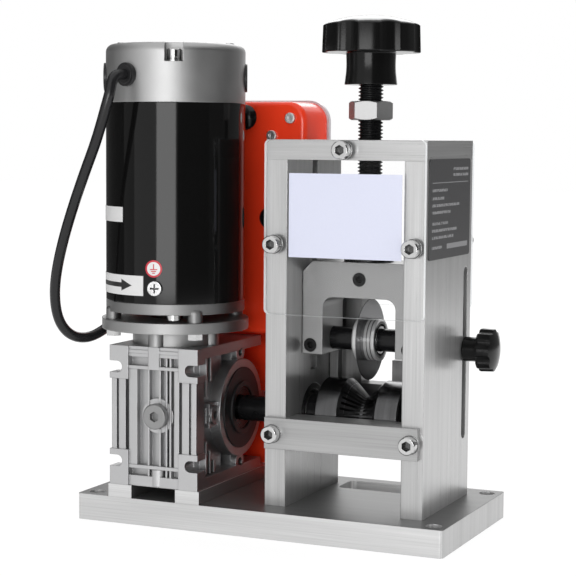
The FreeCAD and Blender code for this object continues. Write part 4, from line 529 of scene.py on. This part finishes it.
def earth_mask(run, z):
    """The earth mark, by the distance from its middle: a ring, a stem and three bars."""
    ring_outer = 5.2 * MM
    ring_inner = 3.8 * MM
    ring_foot = -4.8 * MM
    stem_top = 2.6 * MM
    half_line = 0.3 * MM
    half_bar = 0.28 * MM
    reach = (run * run + z * z) ** 0.5
    inside = (reach < ring_outer) * (z > ring_foot)
    ring = inside * (reach > ring_inner)
    mark = ring + (abs(run) < half_line) * (z > earth_bars[0][0]) * (z < stem_top)
    for height, half_length in earth_bars:
        mark = mark + (abs(z - height) < half_bar) * (abs(run) < half_length)
    return inside * mark


def motor_sticker(name, tone, radius):
    """White labels: a bare one, one with an arrow, and the round earth mark. A point's run is its
    distance round the tube from the tube's front line, and z its height above the tube's lower end."""
    black = (0.01, 0.01, 0.01)
    red = (0.5, 0.01, 0.03)
    mark_run = math.radians(10.0) * radius
    mark_height = 19.8 * MM
    finish = Finish(name)
    origin = node_middle("motor_tube")
    origin.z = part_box("motor_tube")[0].z
    x, y, z = finish.parts(finish.stretched(finish.place(), (1.0, 1.0, 1.0), origin))
    angle = finish.node("ShaderNodeMath", {"operation": "ARCTAN2"}, [y, x])
    run = (angle + math.radians(90.0)) * radius
    arrow = arrow_mask(run, z).maths("MINIMUM", 1.0)
    earth = earth_mask(run - mark_run, z - mark_height).maths("MINIMUM", 1.0)
    fibre = finish.noise(finish.place(), scale=900.0, detail=2.0)
    paper = finish.shade(tone, 0.97 + 0.06 * fibre)
    marked = finish.blend(earth, finish.blend(arrow, paper, black), red)
    relief = finish.bump(fibre, 0.01 * MM, 0.3)
    return finish.surface(base_color=marked, roughness=0.35, normal=relief)


def wound_copper(name, tone):
    """Varnished wire windings: fine rings along Z, one to each millimetre or so."""
    wave = 6000.0
    finish = Finish(name)
    z = finish.parts(finish.place())[2]
    wires = (z * wave).maths("SINE")
    varnish = finish.noise(finish.place(), scale=200.0)
    relief = finish.bump(wires, 0.2 * MM, 0.6)
    return finish.surface(base_color=finish.shade(tone, 0.8 + 0.3 * varnish), metallic=0.8,
                          roughness=0.35, normal=relief)


def printed_board(name, tone):
    """Green board with paler tracks along both its sides, where two sine waves are near their crests."""
    upright_wave = 700.0
    level_wave = 500.0
    track_green = (0.05, 0.28, 0.1)
    finish = Finish(name)
    x, _, z = finish.parts(finish.place())
    upright = (x * upright_wave).maths("SINE") > 0.8
    level = (z * level_wave).maths("SINE") > 0.88
    tracks = upright + level
    tint = finish.blend(tracks.maths("MINIMUM", 1.0), tuple(tone), track_green)
    relief = finish.bump(tracks, 0.05 * MM, 0.5)
    return finish.surface(base_color=tint, roughness=0.3, normal=relief)


def dress(material, *nodes):
    """Gives CAD nodes a finish."""
    for node in nodes:
        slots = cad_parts[node].data.materials
        slots.clear()
        slots.append(material)


def grid_mesh(name, points, closed_across):
    """A mesh from a grid of points. Rows run along a profile and columns go round."""
    weld = 0.001 * MM
    rows, columns, _ = points.shape
    row = np.arange(rows - 1)[:, None]
    column = np.arange(columns if closed_across else columns - 1)[None, :]
    beside = (column + 1) % columns
    first = row * columns + column
    second = row * columns + beside
    quads = np.stack([first, second, second + columns, first + columns], axis=-1).reshape(-1, 4)
    mesh = bpy.data.meshes.new(name)
    mesh.vertices.add(rows * columns)
    mesh.vertices.foreach_set("co", points.reshape(-1).astype(np.float32))
    mesh.loops.add(quads.size)
    mesh.loops.foreach_set("vertex_index", quads.reshape(-1).astype(np.int32))
    mesh.polygons.add(len(quads))
    mesh.polygons.foreach_set("loop_start", np.arange(0, quads.size, 4, dtype=np.int32))
    mesh.update(calc_edges=True)
    mesh.validate()
    shell = bmesh.new()
    shell.from_mesh(mesh)
    bmesh.ops.remove_doubles(shell, verts=shell.verts, dist=weld)
    bmesh.ops.recalc_face_normals(shell, faces=shell.faces)
    shell.to_mesh(mesh)
    shell.free()
    return mesh


def show(name, mesh, material, body, slot, *nodes):
    """An object for a finished mesh, which rides on a body and stands for CAD nodes."""
    thing = bpy.data.objects.new(name, mesh)
    bpy.context.scene.collection.objects.link(thing)
    mesh.materials.append(material)
    mesh.polygons.foreach_set("use_smooth", [True] * len(mesh.polygons))
    mesh.set_sharp_from_angle(angle=math.radians(35.0))
    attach(thing, body)
    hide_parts(*nodes)
    return thing


def smooth_least(first, second, width):
    """The smaller of two arrays, rounded where they cross."""
    share = np.clip(0.5 + 0.5 * (second - first) / width, 0.0, 1.0)
    return second * (1 - share) + first * share - width * share * (1 - share)


def scooped_radius(angle, radius, lobes, scoop, depth):
    """Outer radius at an angle: a circle, cut by smaller circles whose centres stand outside it."""
    pitch = 2 * np.pi / lobes
    off = (angle % pitch) - pitch / 2
    reach = radius + scoop - depth
    inside = np.maximum(scoop ** 2 - (reach * np.sin(off)) ** 2, 0.0)
    cut = reach * np.cos(off) - np.sqrt(inside)
    cut = np.where(inside > 0, cut, radius + depth)
    return smooth_least(np.full_like(angle, radius), cut, depth * 0.22)


def part_way(corner, other, reach):
    """The point at a reach from a corner towards another point, at most half way."""
    step = other - corner
    return corner + step * min(reach / max(np.linalg.norm(step), 1e-9), 0.5)


def rounded_profile(corners, rounds, steps=6):
    """A line through corners, each turned by a quadratic curve whose middle control is the corner. A
    corner's round is the curve's reach along both sides."""
    points = [np.array(corners[0], float)]
    for before, corner, after, reach in zip(corners, corners[1:], corners[2:], rounds):
        before, corner, after = (np.array(point, float) for point in (before, corner, after))
        start = part_way(corner, before, reach)
        end = part_way(corner, after, reach)
        for share in np.linspace(0.0, 1.0, steps):
            points.append((1 - share) ** 2 * start + 2 * share * (1 - share) * corner + share ** 2 * end)
    points.append(np.array(corners[-1], float))
    return np.array(points)


def knob_points(profile, lobed, angles, outline):
    """Grid of a turned form whose outer part follows a lobed outline, in its own frame along Z: the
    profile's radius times a mix of 1 and the outline at the angle, by the profile's lobed share."""
    radius = profile[:, 0][:, None]
    height = profile[:, 1][:, None]
    share = lobed[:, None]
    reach = radius * (1 - share) + radius * share * outline[None, :]
    return np.stack([reach * np.cos(angles), reach * np.sin(angles), height + 0 * angles], axis=-1)


def star_knob_grid(sizes):
    """Star knob: a flared hub, a scooped rim that narrows upwards and a domed top. The dome's height
    falls with the square of the distance from the axis, so it is higher where a scoop cuts into the rim."""
    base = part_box("star_knob")[0].z
    centre = node_middle("star_knob")
    angles = np.linspace(0, 2 * np.pi, 384, endpoint=False)
    rim = sizes.knob_radius
    crown = rim - 0.5 * MM
    hub = sizes.hub_radius
    waist = base + 9.0 * MM
    rim_z = base + sizes.knob_hub
    crown_z = rim_z + sizes.knob_rim
    outline = scooped_radius(angles - math.radians(sizes.knob_turn), rim, sizes.knob_lobes,
                             sizes.scoop_radius, sizes.scoop_depth) / rim
    below = rounded_profile([
        (0.0, base), (hub + 0.2 * MM, base), (hub - 0.9 * MM, waist), (hub - 0.6 * MM, rim_z),
        (rim, rim_z), (crown, crown_z),
    ], [0.5 * MM, 4.0 * MM, 0.6 * MM, 0.8 * MM])
    reach = crown * np.sin(np.linspace(1.0, 0.0, 40) * np.pi / 2)
    above = np.stack([reach, np.full_like(reach, crown_z)], axis=-1)
    profile = np.concatenate([below, above[1:]])
    lobed = np.clip((profile[:, 0] - hub) / (rim * 0.35), 0.0, 1.0)
    points = knob_points(profile, lobed, angles, outline)
    top = points[len(below) - 1:]
    real_reach = np.hypot(top[..., 0], top[..., 1])
    rounding = 0.7 * MM * (reach / reach[0]) ** 24
    top[..., 2] = crown_z + sizes.knob_dome * (1 - (real_reach / rim) ** 2) - rounding[:, None]
    return points + np.array([centre.x, centre.y, 0.0])


def side_knob_grid(sizes):
    """Side lock knob along X: stud, stem and a scooped grip. Its end falls back with the square of the
    distance from the axis."""
    low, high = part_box("side_knob")
    centre = node_middle("side_knob")
    angles = np.linspace(0, 2 * np.pi, 240, endpoint=False)
    rim = sizes.side_radius
    crown = rim - 0.3 * MM
    dome = 2.4 * MM
    stud = sizes.stud_radius
    stem = sizes.side_stem
    outline = scooped_radius(angles, rim, sizes.side_lobes, sizes.side_scoop, sizes.side_depth) / rim
    grip_start = high.x - sizes.side_grip
    stem_start = grip_start - 9.1 * MM
    below = rounded_profile([
        (0.0, low.x), (stud, low.x), (stud, stem_start), (stem, stem_start), (stem, grip_start),
        (rim - 0.6 * MM, grip_start), (rim, grip_start + 1.0 * MM), (crown, high.x - dome),
    ], [0.3 * MM, 0.1 * MM, 0.3 * MM, 0.6 * MM, 0.7 * MM, 0.7 * MM])
    reach = crown * np.sin(np.linspace(1.0, 0.0, 24) * np.pi / 2)
    above = np.stack([reach, np.full_like(reach, high.x)], axis=-1)
    profile = np.concatenate([below, above[1:]])
    lobed = np.clip((profile[:, 0] - stem) / (rim * 0.4), 0.0, 1.0)
    points = knob_points(profile, lobed, angles, outline)
    top = points[len(below) - 1:]
    real_reach = np.hypot(top[..., 0], top[..., 1])
    top[..., 2] = high.x - dome * (real_reach / rim) ** 2
    turned_points = np.stack([points[..., 2], points[..., 1], -points[..., 0]], axis=-1)
    return turned_points + np.array([0.0, centre.y, centre.z])


def screw_grid(sizes):
    """Pressure screw: a plain pin with a neck, then a helical thread. The radius at a height and an
    angle is a tooth of the height's share of a pitch, less the angle's share of a turn. The tooth is a
    sloped roof round the middle of the share, cut flat at the crest and at the root."""
    low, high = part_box("pressure_screw")
    centre = node_middle("pressure_screw")
    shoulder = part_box("thrust_disc")[1].z + 0.05 * MM
    angles = np.linspace(0, 2 * np.pi, 48, endpoint=False)
    heights = np.arange(shoulder, high.z, sizes.screw_pitch / 12)
    share = (heights[:, None] / sizes.screw_pitch - angles[None, :] / (2 * np.pi)) % 1.0
    roof = 1.35
    slope = 3.4
    tooth = np.clip(roof - np.abs(share - 0.5) * slope, 0.0, 1.0)
    fade = np.clip((heights - shoulder) / sizes.screw_pitch, 0.0, 1.0)[:, None]
    radius = sizes.screw_radius - sizes.screw_depth * (1 - tooth * fade)
    pin = sizes.pin_radius
    waist = pin - 1.0 * MM
    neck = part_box("carriage")[1].z - 9.5 * MM
    half_neck = 4.2 * MM
    rounds = [0.5 * MM, 0.1 * MM, 0.1 * MM, 0.1 * MM, 0.1 * MM]
    profile = rounded_profile([
        (0.0, low.z), (pin, low.z), (pin, neck - half_neck), (waist, neck - half_neck),
        (waist, neck + half_neck), (pin, neck + half_neck), (pin, shoulder),
    ], rounds, steps=3)
    pin_radii = np.repeat(profile[:, :1], len(angles), axis=1)
    all_radii = np.concatenate([pin_radii, radius, np.zeros((1, len(angles)))])
    all_heights = np.concatenate([profile[:, 1], heights, [high.z]])[:, None] + 0 * angles
    points = np.stack([all_radii * np.cos(angles), all_radii * np.sin(angles), all_heights], axis=-1)
    return points + np.array([centre.x, centre.y, 0.0])


# Points of the cable's line from the motor's cap to the control box, in millimetres
cable_route = [
    (-72.57, -69.57, 254.5),
    (-74.19, -75.61, 254.5),
    (-74.7, -79.3, 250.4),
    (-74.9, -80.9, 244.3),
    (-77.0, -81.2, 237.4),
    (-80.2, -80.6, 228.3),
    (-85.2, -79.4, 216.0),
    (-92.7, -77.2, 201.5),
    (-102.2, -74.0, 182.4),
    (-111.4, -70.4, 161.9),
    (-118.7, -66.4, 142.2),
    (-122.4, -62.0, 126.8),
    (-122.8, -56.6, 113.8),
    (-119.4, -49.8, 105.4),
    (-113.8, -41.5, 103.2),
    (-110.1, -31.5, 105.8),
    (-108.0, -18.0, 111.6),
    (-106.0, -3.0, 117.5),
    (-106.0, 11.6, 117.5),
]

# Name, first and last bearing in degrees, and grey level of each card that gloss sees beside the machine
dark_cards = [
    ("right_card", -63.0, -8.0, 0.04),
    ("side_card", -8.0, 26.0, 0.12),
    ("back_card", 26.0, 80.0, 0.22),
    ("left_card", 124.0, 205.0, 0.09),
    ("front_left_card", 205.0, 226.0, 0.4),
]
card_height = 1.6

# Name, place, point it looks at, width, height, the setting of its power, and whether gloss sees it
soft_lamps = [
    ("front_strip", (0.203, -1.253, 0.19), (-0.06, -0.03, 0.17), 0.695, 0.36, "strip", True),
    ("back_softbox", (-0.69, 1.55, 1.2), (0.04, 0.0, 0.29), 1.2, 0.9, "softbox", True),
    ("side_light", (1.5, -0.35, 0.7), (0.0, 0.0, 0.1), 0.7, 0.9, "rim", False),
]


class STRIPPER_OT_stage(bpy.types.Operator):
    """Camera, floor, lamps and world"""

    bl_idname = "stripper.stage"
    bl_label = "Set the stage"

    def execute(self, context):
        studio = context.scene.stripper_studio
        self.camera(context, studio)
        self.world(context, studio)
        self.floor()
        for name, place, target, width, height, power, in_gloss in soft_lamps:
            self.lamp(name, place, target, width, height, getattr(studio, power), in_gloss)
        for name, start, end, level in dark_cards:
            self.card(name, math.radians(start), math.radians(end), studio.card_reach, level)
        return {"FINISHED"}

    def camera(self, context, studio):
        """The camera at the photograph's place. Its roll turns it about its own line of sight."""
        data = bpy.data.cameras.new("camera")
        data.sensor_width = 36.0
        data.lens = studio.focus * data.sensor_width / photo_width
        data.clip_start = 0.05
        camera = bpy.data.objects.new("camera", data)
        context.scene.collection.objects.link(camera)
        turn = Matrix.Rotation(math.radians(studio.turn), 4, "Z")
        tilt = Matrix.Rotation(math.radians(90.0 - studio.tilt), 4, "X")
        roll = Matrix.Rotation(math.radians(studio.roll), 4, "Z")
        camera.matrix_world = Matrix.Translation(Vector(studio.camera_place)) @ turn @ tilt @ roll
        context.scene.camera = camera
        context.scene.view_settings.view_transform = "Standard"

    def world(self, context, studio):
        """Even light, and white where the camera, gloss and glass see the world."""
        finish = Finish("studio", world=True)
        even = finish.node("ShaderNodeBackground", {}, {"Color": white, "Strength": studio.world})
        bright = finish.node("ShaderNodeBackground", {}, {"Color": white, "Strength": 1.0})
        mixed = finish.node("ShaderNodeMixShader", {}, [finish.directly_seen(), even, bright])
        context.scene.world = finish.close(mixed)

    def floor(self):
        """A wide pale floor that keeps a soft shadow and is white to the camera."""
        half = 6.0
        pale = (0.9, 0.9, 0.9)
        glow_level = 1.09
        glow_share = 0.8
        finish = Finish("floor")
        matte = finish.node("ShaderNodeBsdfDiffuse", {}, {"Color": pale})
        glow = finish.node("ShaderNodeEmission", {}, {"Color": white, "Strength": glow_level})
        share = finish.directly_seen() * glow_share
        mixed = finish.node("ShaderNodeMixShader", {}, [share, matte, glow])
        corners = [(-half, -half, 0), (half, -half, 0), (half, half, 0), (-half, half, 0)]
        mesh = bpy.data.meshes.new("floor")
        mesh.from_pydata(corners, [], [(0, 1, 2, 3)])
        mesh.materials.append(finish.close(mixed))
        floor = bpy.data.objects.new("floor", mesh)
        bpy.context.scene.collection.objects.link(floor)

    def card(self, name, start, end, reach, level):
        """A standing curved card that only gloss sees, between two bearings from the machine. Its points
        lie on an upright cylinder about the origin."""
        bearings = np.linspace(start, end, 24)
        rows = [np.stack([reach * np.cos(bearings), reach * np.sin(bearings), 0 * bearings + height], axis=-1)
                for height in (0.0, card_height)]
        finish = Finish(name)
        glow = finish.close(finish.node("ShaderNodeEmission", {}, {"Color": white, "Strength": level}))
        glow.cycles.emission_sampling = "NONE"
        mesh = grid_mesh(name, np.stack(rows), False)
        mesh.materials.append(glow)
        card = bpy.data.objects.new(name, mesh)
        bpy.context.scene.collection.objects.link(card)
        card.visible_camera = False
        card.visible_diffuse = False
        card.visible_transmission = False
        card.visible_shadow = False

    def lamp(self, name, place, target, width, height, power, in_gloss):
        """A rectangular soft lamp that looks at a point."""
        data = bpy.data.lights.new(name, "AREA")
        data.shape = "RECTANGLE"
        data.size = width
        data.size_y = height
        data.energy = power
        lamp = bpy.data.objects.new(name, data)
        bpy.context.scene.collection.objects.link(lamp)
        lamp.visible_camera = False
        lamp.visible_glossy = in_gloss
        look = Vector(target) - Vector(place)
        aim = look.to_track_quat("-Z", "Y").to_matrix().to_4x4()
        lamp.matrix_world = Matrix.Translation(Vector(place)) @ aim


class STRIPPER_OT_cable(bpy.types.Operator):
    """Cable from the motor's cap to the control box"""

    bl_idname = "stripper.cable"
    bl_label = "Lay the cable"

    def execute(self, context):
        tones = context.scene.stripper_colours
        diameter = context.scene.stripper_sizes.cable_diameter
        curve = bpy.data.curves.new("motor_cable_line", "CURVE")
        curve.dimensions = "3D"
        curve.bevel_depth = diameter / 2
        curve.bevel_resolution = 6
        curve.resolution_u = 12
        curve.use_fill_caps = True
        spline = curve.splines.new("NURBS")
        spline.points.add(len(cable_route) - 1)
        for point, (x, y, z) in zip(spline.points, cable_route):
            point.co = (x * MM, y * MM, z * MM, 1.0)
        spline.order_u = 3
        spline.use_endpoint_u = True
        curve.materials.append(moulded("cable_sheath", tones.rubber, rough=0.22, ior=1.42))
        cable = bpy.data.objects.new("motor_cable_line", curve)
        context.scene.collection.objects.link(cable)
        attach(cable, "frame")
        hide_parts("motor_cable")
        return {"FINISHED"}


class STRIPPER_OT_knobs(bpy.types.Operator):
    """Star knob and side lock knob"""

    bl_idname = "stripper.knobs"
    bl_label = "Shape the knobs"

    def execute(self, context):
        tones = context.scene.stripper_colours
        sizes = context.scene.stripper_sizes
        plastic = moulded("knob_plastic", tones.plastic, rough=0.16, ior=1.3)
        star = grid_mesh("star_knob_form", star_knob_grid(sizes), True)
        show("star_knob_form", star, plastic, "screw", "black_plastic", "star_knob")
        side = grid_mesh("side_knob_form", side_knob_grid(sizes), True)
        show("side_knob_form", side, plastic, "side_knob", "black_plastic", "side_knob")
        return {"FINISHED"}


class STRIPPER_OT_screw(bpy.types.Operator):
    """Threaded pressure screw, its thrust disc and lock nut"""

    bl_idname = "stripper.screw"
    bl_label = "Cut the pressure screw"

    def execute(self, context):
        tones = context.scene.stripper_colours
        dark = oxide("screw_oxide", tones.oxide, rough=0.28)
        mesh = grid_mesh("pressure_screw_thread", screw_grid(context.scene.stripper_sizes), True)
        show("pressure_screw_thread", mesh, dark, "screw", "black_steel", "pressure_screw")
        dress(dark, "thrust_disc")
        dress(plated("nut_plating", tones.nut, rough=0.5, spread=0.08), "lock_nut")
        return {"FINISHED"}


class STRIPPER_OT_plates(bpy.types.Operator):
    """Brushed base, frame, carriage, wire rest and guide"""

    bl_idname = "stripper.plates"
    bl_label = "Brush the plates"

    def execute(self, context):
        tones = context.scene.stripper_colours
        edge = context.scene.stripper_sizes.edge
        # The faces factors are a painted light and shade by the way each face looks, darkest on the base's
        # top. Between the side plates a painted shade darkens their inner faces towards the back.
        shaded_gap = (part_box("left_side_plate")[1].x - 0.6 * MM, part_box("right_side_plate")[0].x + 0.6 * MM)
        dress(brushed("base_brushing", tones.base, "ZXX", rough=0.4, edge=edge, faces=(0.9, 0.98, 0.3),
                      metal=0.6), "base_plate")
        dress(brushed("rail_brushing", tones.base, "YXY", edge=edge, faces=(0.35, 1.05, 1.0)),
              "gearbox_rails")
        dress(brushed("side_brushing", tones.plate, "ZZY", rough=0.3, edge=edge, faces=(1.08, 0.95, 0.9),
                      inside=shaded_gap), "left_side_plate", "right_side_plate")
        dress(brushed("top_brushing", tones.plate, "YXX", rough=0.3, edge=edge, faces=(0.85, 0.9, 0.9)),
              "top_plate")
        dress(brushed("rest_brushing", tones.rest, "YXX", rough=0.4, edge=edge), "wire_rest")
        dress(brushed("carriage_brushing", tones.plate, "YXX", rough=0.42, edge=edge, contrast=0.16,
                      faces=(0.6, 0.58, 0.7)), "carriage")
        # The guide's dark tone is a painted shade
        dress(brushed("guide_brushing", tones.guide, "ZZX", edge=edge), "wire_guide")
        return {"FINISHED"}


class STRIPPER_OT_gearbox(bpy.types.Operator):
    """Cast gearbox, flange, worm pair, bearings and seals"""

    bl_idname = "stripper.gearbox"
    bl_label = "Finish the gearbox"

    def execute(self, context):
        tones = context.scene.stripper_colours
        # The gearbox's flanks get a painted shade
        dress(cast("gearbox_casting", tones.casting, flank_shade=0.68), "gearbox_housing", "gearbox_side_cover")
        dress(cast("flange_casting", tones.flange, rough=0.46), "input_flange")
        dress(moulded("seal_rubber", tones.rubber, rough=0.5), "gearbox_seals")
        dress(cast("plug_steel", tones.plug, rough=0.4), "gearbox_plug")
        core = (context.scene.stripper_sizes.wheel_core, tuple(tones.wheel_hub))
        dress(turned("bronze_turning", tones.bronze, node_middle("worm_wheel"), "X", core=core), "worm_wheel")
        worm = node_middle("worm_shaft")
        dress(turned("worm_turning", tones.steel, worm, "Z"), "worm_shaft", "worm_bearing_outers",
              "worm_bearing_inners")
        return {"FINISHED"}


class STRIPPER_OT_motor(bpy.types.Operator):
    """Motor tube, caps, labels, screws and what is inside"""

    bl_idname = "stripper.motor"
    bl_label = "Finish the motor"

    def execute(self, context):
        tones = context.scene.stripper_colours
        sizes = context.scene.stripper_sizes
        dress(gloss("motor_paint", tones.motor, rough=0.08, peel=0.004 * MM, coat=0.0, ior=1.325),
              "motor_tube")
        dress(cast("cap_casting", tones.cap, rough=0.48, grain=0.03 * MM), "motor_top_cap")
        dress(cast("lower_cap_casting", tones.lower_cap, rough=0.46), "motor_lower_cap")
        dress(motor_sticker("motor_sticker", tones.sticker, sizes.tube_radius), "motor_labels")
        dress(moulded("bush_rubber", tones.rubber, rough=0.35), "cable_grommet", "brush_caps")
        dress(plated("screw_plating", tones.bright), "motor_screws", "earth_screw", "flange_bolts")
        magnet = oxide("magnet_ferrite", tones.magnet, rough=0.6)
        dress(magnet, "motor_magnets", "carbon_brushes")
        dress(turned("armature_steel", tones.armature, node_middle("armature"), "Z"), "armature")
        dress(wound_copper("winding_copper", tones.copper), "armature_copper")
        return {"FINISHED"}


class STRIPPER_OT_cutter(bpy.types.Operator):
    """Feed roller, shaft, blade, hub and bearings"""

    bl_idname = "stripper.cutter"
    bl_label = "Finish the cutter"

    def execute(self, context):
        tones = context.scene.stripper_colours
        roller = node_middle("feed_roller")
        arbor = node_middle("blade_arbor")
        dress(turned("roller_turning", tones.roller, roller, "X", rough=0.24, contrast=0.5), "feed_roller")
        dress(turned("bearing_turning", tones.steel, roller, "X"), "drive_bearing_outers",
              "drive_bearing_inners")
        dress(oxide("shaft_oxide", tones.oxide, rough=0.22), "drive_shaft", "shaft_collars", "blade_arbor")
        dress(turned("blade_grinding", tones.blade, arbor, "X", rough=0.22, contrast=0.4), "cutting_blade")
        dress(turned("hub_turning", tones.bright, arbor, "X", rough=0.2, contrast=0.6, metal=0.4),
              "blade_hub")
        dress(turned("blade_bearing_turning", tones.bright, arbor, "X", rough=0.2), "blade_bearing_inners")
        dress(moulded("bearing_shield", tones.rubber, rough=0.3), "blade_bearing_outers")
        return {"FINISHED"}


class STRIPPER_OT_fasteners(bpy.types.Operator):
    """Screws of the frame, guards and control box"""

    bl_idname = "stripper.fasteners"
    bl_label = "Finish the fasteners"

    def execute(self, context):
        tones = context.scene.stripper_colours
        dress(plated("cap_screw_plating", tones.bright), "cap_screws")
        dress(cast("box_screw_steel", tones.box_screw, rough=0.35), "control_box_screws")
        dress(oxide("set_screw_oxide", tones.oxide, rough=0.25), "carriage_set_screws", "frame_screws")
        return {"FINISHED"}


class STRIPPER_OT_guards(bpy.types.Operator):
    """Clear guards, guard label and nameplate"""

    bl_idname = "stripper.guards"
    bl_label = "Finish the guards"

    def execute(self, context):
        tones = context.scene.stripper_colours
        dress(clear_sheet("clear_acrylic"), "front_guard", "rear_guard")
        dress(blank_label("guard_label_sheet", tones.label), "guard_label")
        dress(ruled_plate("nameplate_sheet", tones.nameplate), "nameplate")
        return {"FINISHED"}


class STRIPPER_OT_control_box(bpy.types.Operator):
    """Red control box, its back, button, bushes and board"""

    bl_idname = "stripper.control_box"
    bl_label = "Finish the control box"

    def execute(self, context):
        tones = context.scene.stripper_colours
        dress(gloss("box_shell", tones.box, rough=0.22, coat=0.15), "control_box")
        dress(gloss("box_back", tones.back, rough=0.3), "control_box_back")
        dress(moulded("button_plastic", tones.plastic, rough=0.2), "power_button", "mains_bush",
              "cable_gland")
        dress(printed_board("circuit_board_print", tones.board), "circuit_board")
        return {"FINISHED"}


class STRIPPER_PT_panel(bpy.types.Panel):
    """Sidebar panel with the machine's operators and settings"""

    bl_idname = "STRIPPER_PT_panel"
    bl_label = "Wire stripper"
    bl_space_type = "VIEW_3D"
    bl_region_type = "UI"
    bl_category = "Wire stripper"

    def draw(self, context):
        for operator in operators:
            self.layout.operator(operator.bl_idname)
        for group_name in groups:
            group = getattr(context.scene, group_name)
            box = self.layout.box()
            for name in group.__annotations__:
                box.prop(group, name)


operators = [
    STRIPPER_OT_stage,
    STRIPPER_OT_cable,
    STRIPPER_OT_knobs,
    STRIPPER_OT_screw,
    STRIPPER_OT_plates,
    STRIPPER_OT_gearbox,
    STRIPPER_OT_motor,
    STRIPPER_OT_cutter,
    STRIPPER_OT_fasteners,
    STRIPPER_OT_guards,
    STRIPPER_OT_control_box,
]
groups = {
    "stripper_colours": StripperColours,
    "stripper_sizes": StripperSizes,
    "stripper_studio": StripperStudio,
}


def register():
    """Makes the machine's settings, operators and panel known."""
    for kind in [*groups.values(), *operators, STRIPPER_PT_panel]:
        bpy.utils.register_class(kind)
    for name, kind in groups.items():
        setattr(bpy.types.Scene, name, PointerProperty(type=kind))


def unregister():
    """Takes back what register did."""
    for name in groups:
        delattr(bpy.types.Scene, name)
    for kind in [STRIPPER_PT_panel, *reversed(operators), *groups.values()]:
        bpy.utils.unregister_class(kind)


def main():
    """Builds the whole picture."""
    register()
    bpy.ops.stripper.stage()
    bpy.ops.stripper.cable()
    bpy.ops.stripper.knobs()
    bpy.ops.stripper.screw()
    bpy.ops.stripper.plates()
    bpy.ops.stripper.gearbox()
    bpy.ops.stripper.motor()
    bpy.ops.stripper.cutter()
    bpy.ops.stripper.fasteners()
    bpy.ops.stripper.guards()
    bpy.ops.stripper.control_box()


if __name__ == "__main__":
    main()
